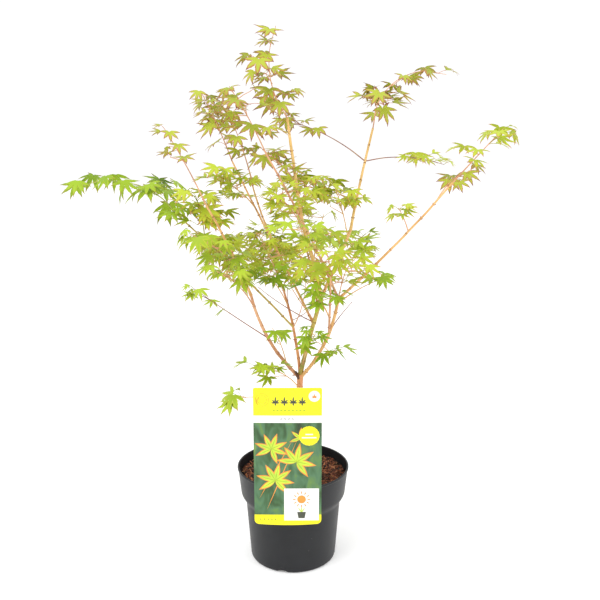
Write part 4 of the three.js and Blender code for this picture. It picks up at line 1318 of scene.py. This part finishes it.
# Autumn and spring tints are dealt out by spray: two blade tones, the margin and the tips. The
# darker blade tone is partly the leaves' own differing tone and partly painted shade.
TINTS = {
    "bronzed": ("b0ba40", "a0aa36", "b0844a", "8a523c"),
    "lime": ("b8c838", "a6b82e", "b8b23a", "b48042"),
    "fresh_green": ("aac234", "98b02a", "acb836", "a89a3c"),
    "deep_green": ("98b62c", "86a624", "9cb02c", "969034"),
}
SPRAY_TINTS = {
    "bronzed": [
        "left_top", "leader_top", "high_left", "high_middle", "right_back_top", "left_arch",
        "crossing_top", "right_mid", "leader_left",
    ],
    "lime": [
        "right_arch", "right_tip", "centre_back_left", "centre_left", "leader_front",
        "leader_right", "centre_right", "right_back_mid", "high_side", "right_front", "back_top",
        "right_low", "left_shoulder", "front_top", "left_inner",
    ],
    "fresh_green": [
        "left_mid", "left_low", "low_left_twig", "right_back_low", "crossing_side", "back_side",
        "back_left", "low_front", "low_side",
    ],
    "deep_green": [
        "far_left", "right_twig", "low_right", "low_centre", "low_left", "front_left", "centre_low",
    ],
}
spray_names = [spray[0] for spray in SPRAYS]
for tint, names in SPRAY_TINTS.items():
    points, faces, zones = [], [], []
    for name in names:
        own = spray_names.index(name)
        leaf_draw = numpy.random.default_rng(LEAF_SEED + own)
        growth_share = next(
            (share for share, some in GROWTH_OF_SOME.items() if name in some), LEAF_GROWTH
        )
        raised = HANGING_LIFT if name in HANGING else 1
        for leaf in growth[own]["leaves"]:
            corners, leaf_faces, leaf_zones = laid_leaf(leaf, leaf_draw, growth_share, raised)
            faces += [[corner + len(points) for corner in face] for face in leaf_faces]
            points += corners.tolist()
            zones += leaf_zones
    finishes = [
        blade_finish(tint + "_" + part, tone, 0.45)
        for part, tone in zip(("leaf_light", "leaf_dark_painted_shade", "leaf_margin", "leaf_tip"), TINTS[tint])
    ]
    leaf_mesh = joined_mesh("leaves_" + tint, points, faces, zones)
    leaves = put("leaves_" + tint, leaf_mesh, finishes, 50)
    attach(leaves, "root")
    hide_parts(*["spray_" + name for name in names])

# Stems, side twigs and leaf stalks are green wood under three millimetres across, thinner
# towards its end and swollen a little at each pair of leaves.
STEM_BARKS = {
    "rose": ["left_top", "high_left", "high_middle", "crossing_top", "leader_top", "right_tip",
             "right_mid", "left_mid", "left_low", "right_back_top", "centre_left", "leader_left",
             "leader_front", "leader_right", "right_low", "right_front", "front_top"],
    "plum": ["left_arch", "right_arch", "low_left_twig"],
    "green": ["far_left", "left_shoulder", "left_inner"],
}
BARKS["plum"] = bark_finish("plum_bark", "a06a54", "b08a5c", "74463e", "5a342e")
STALK_TONES = {
    "bronzed": "c07a58", "lime": "a9a24c", "fresh_green": "8a9a40", "deep_green": "7a8c3a",
}
STEM_SPACING, TWIG_SPACING = 3, 5
STEM_RADIUS, STEM_TAPER, STEM_TAPER_POWER = 1.2, 0.7, 0.8
PAIR_SWELL, PAIR_WIDTH = 0.28, 0.8
TWIG_RADII, STALK_RADII = (0.8, 0.5), [0.5, 0.4, 0.36, 0.5]
STALK_ARCH, STALK_BENDS = 0.06, (0.35, 0.7)
stem_lines = {"peach": [], "rose": [], "plum": [], "green": []}
stalk_lines = {tint: [] for tint in TINTS}
for own, name in enumerate(spray_names):
    bark = next((kind for kind, names in STEM_BARKS.items() if name in names), "peach")
    tint = next(kind for kind, names in SPRAY_TINTS.items() if name in names)
    pairs, bare = SPRAYS[own][6:8]
    line = smoothed(stems[own], STEM_SPACING)
    shares = numpy.arange(len(line)) / (len(line) - 1)
    radii = STEM_RADIUS - STEM_TAPER * shares ** STEM_TAPER_POWER
    for pair in range(pairs):
        off = (shares - between((bare, 1), (pair + 0.5) / pairs)) * (len(line) - 1)
        radii = radii + PAIR_SWELL * numpy.exp(-(off / PAIR_WIDTH) ** 2)
    stem_lines[bark].append((line, radii, 0))
    for twig in growth[own]["twigs"]:
        line = smoothed(twig, TWIG_SPACING)
        stem_lines[bark].append((line, numpy.linspace(*TWIG_RADII, len(line)), 0))
    for leaf in growth[own]["leaves"]:
        span = leaf["hub"] - leaf["root"]
        arch = numpy.array([0, 0, STALK_ARCH * float(numpy.linalg.norm(span))])
        bends = [leaf["root"] + span * share + arch for share in STALK_BENDS]
        stalk = numpy.array([leaf["root"], *bends, leaf["hub"]])
        stalk_lines[tint].append((stalk, STALK_RADII, 0))

# Bare older twigs cross above the fork, each with swollen joints. Columns: limb, share of it,
# bearing and rise at foot and end in degrees, length, radius at foot and end, and bark.
BARE_TWIGS = [
    ("centre_bough", 0.5, (0, 30), (62, 88), 84, (0.95, 0.5), "rose"),
    ("centre_bough", 0.58, (-20, 10), (28, 38), 44, (0.75, 0.45), "plum"),
    ("centre_bough", 0.72, (160, 150), (84, 88), 34, (0.7, 0.45), "plum"),
    ("leader_foot", 0.68, (195, 178), (28, 40), 112, (0.95, 0.5), "plum"),
    ("leader_foot", 0.7, (205, 170), (52, 62), 84, (1, 0.6), "rose"),
    ("right_bough", 0.62, (-10, 30), (64, 40), 64, (0.95, 0.45), "plum"),
    ("trunk", 0.98, (200, 180), (20, 0), 14, (1.1, 0.7), "plum"),
    ("trunk", 0.985, (-20, 10), (40, 60), 11, (1, 0.6), "plum"),
]
TWIG_JOINT, TWIG_SWELL = 6, 0.35
for limb_name, share, bearing, rise, length, ends, bark in BARE_TWIGS:
    start = point_along(limbs[limb_name][0], share)
    line = smoothed(course(start, bearing, rise, length, LIMB_STEPS), STEM_SPACING)
    swollen = numpy.arange(len(line)) % TWIG_JOINT == TWIG_JOINT - 1
    radii = numpy.linspace(*ends, len(line)) * (1 + TWIG_SWELL * swollen)
    stem_lines[bark].append((line, radii, 0))
for bark, lines in stem_lines.items():
    stems_piece = put("stems_" + bark, tubes("stems_" + bark, lines, 1), [BARKS[bark]], 60)
    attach(stems_piece, "root")
for tint, lines in stalk_lines.items():
    finish = blade_finish("leaf_stalk_" + tint, STALK_TONES[tint], 0.4)
    stalk_mesh = tubes("leaf_stalks_" + tint, lines, 0)
    stalks_piece = put("leaf_stalks_" + tint, stalk_mesh, [finish], 60)
    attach(stalks_piece, "root")

# The studio: a wide white floor under a white sky, a large soft light from the upper left and
# a weaker one from the right, and the camera at the height of the crown, tilted down.
FLOOR_RADIUS, SKY_STRENGTH = 9, 1.05
# Name, place, width and power of each light, and the place that both point at
LIGHTS = [
    ("key_light", (-1.3, -1.5, 2.3), 1.4, 26),
    ("fill_light", (1.6, -1.1, 1.6), 1.4, 8),
]
LIT_PLACE = (0, 0, 0.4)
CAMERA_PLACE, CAMERA_TILT, CAMERA_LENS = (0.012, -1.25, 0.735), 12.6, 46.62
floor_shape = bmesh.new()
bmesh.ops.create_circle(floor_shape, cap_ends=True, segments=96, radius=FLOOR_RADIUS)
studio_white = blank_material("white_studio_floor")
matt = add_node(
    studio_white, "ShaderNodeBsdfPrincipled",
    inputs={
        "Base Color": linear("fdfdfd"), "Roughness": 0.9, "Specular IOR Level": 0.1,
        "Emission Color": (1, 1, 1, 1), "Emission Strength": 0.14,
    },
)
add_node(studio_white, "ShaderNodeOutputMaterial", inputs={"Surface": matt.outputs[0]})
floor = put("studio_floor", mesh_from("studio_floor", floor_shape), [studio_white])

world = bpy.data.worlds.new("studio_sky")
bpy.context.scene.world = world
world.use_nodes = True
world.node_tree.nodes["Background"].inputs["Color"].default_value = (1, 1, 1, 1)
world.node_tree.nodes["Background"].inputs["Strength"].default_value = SKY_STRENGTH

for name, spot, size, power in LIGHTS:
    lamp = bpy.data.lights.new(name, "AREA")
    lamp.shape = "DISK"
    lamp.size = size
    lamp.energy = power
    light = bpy.data.objects.new(name, lamp)
    light.location = spot
    towards = Vector(LIT_PLACE) - Vector(spot)
    light.rotation_euler = towards.to_track_quat("-Z", "Y").to_euler()
    bpy.context.scene.collection.objects.link(light)

lens = bpy.data.cameras.new("camera")
lens.lens = CAMERA_LENS
lens.sensor_width = 36
lens.clip_end = 100
camera = bpy.data.objects.new("camera", lens)
camera.location = CAMERA_PLACE
camera.rotation_euler = (math.radians(90 - CAMERA_TILT), 0, 0)
bpy.context.scene.collection.objects.link(camera)
bpy.context.scene.camera = camera
bpy.context.scene.view_settings.view_transform = "Standard"
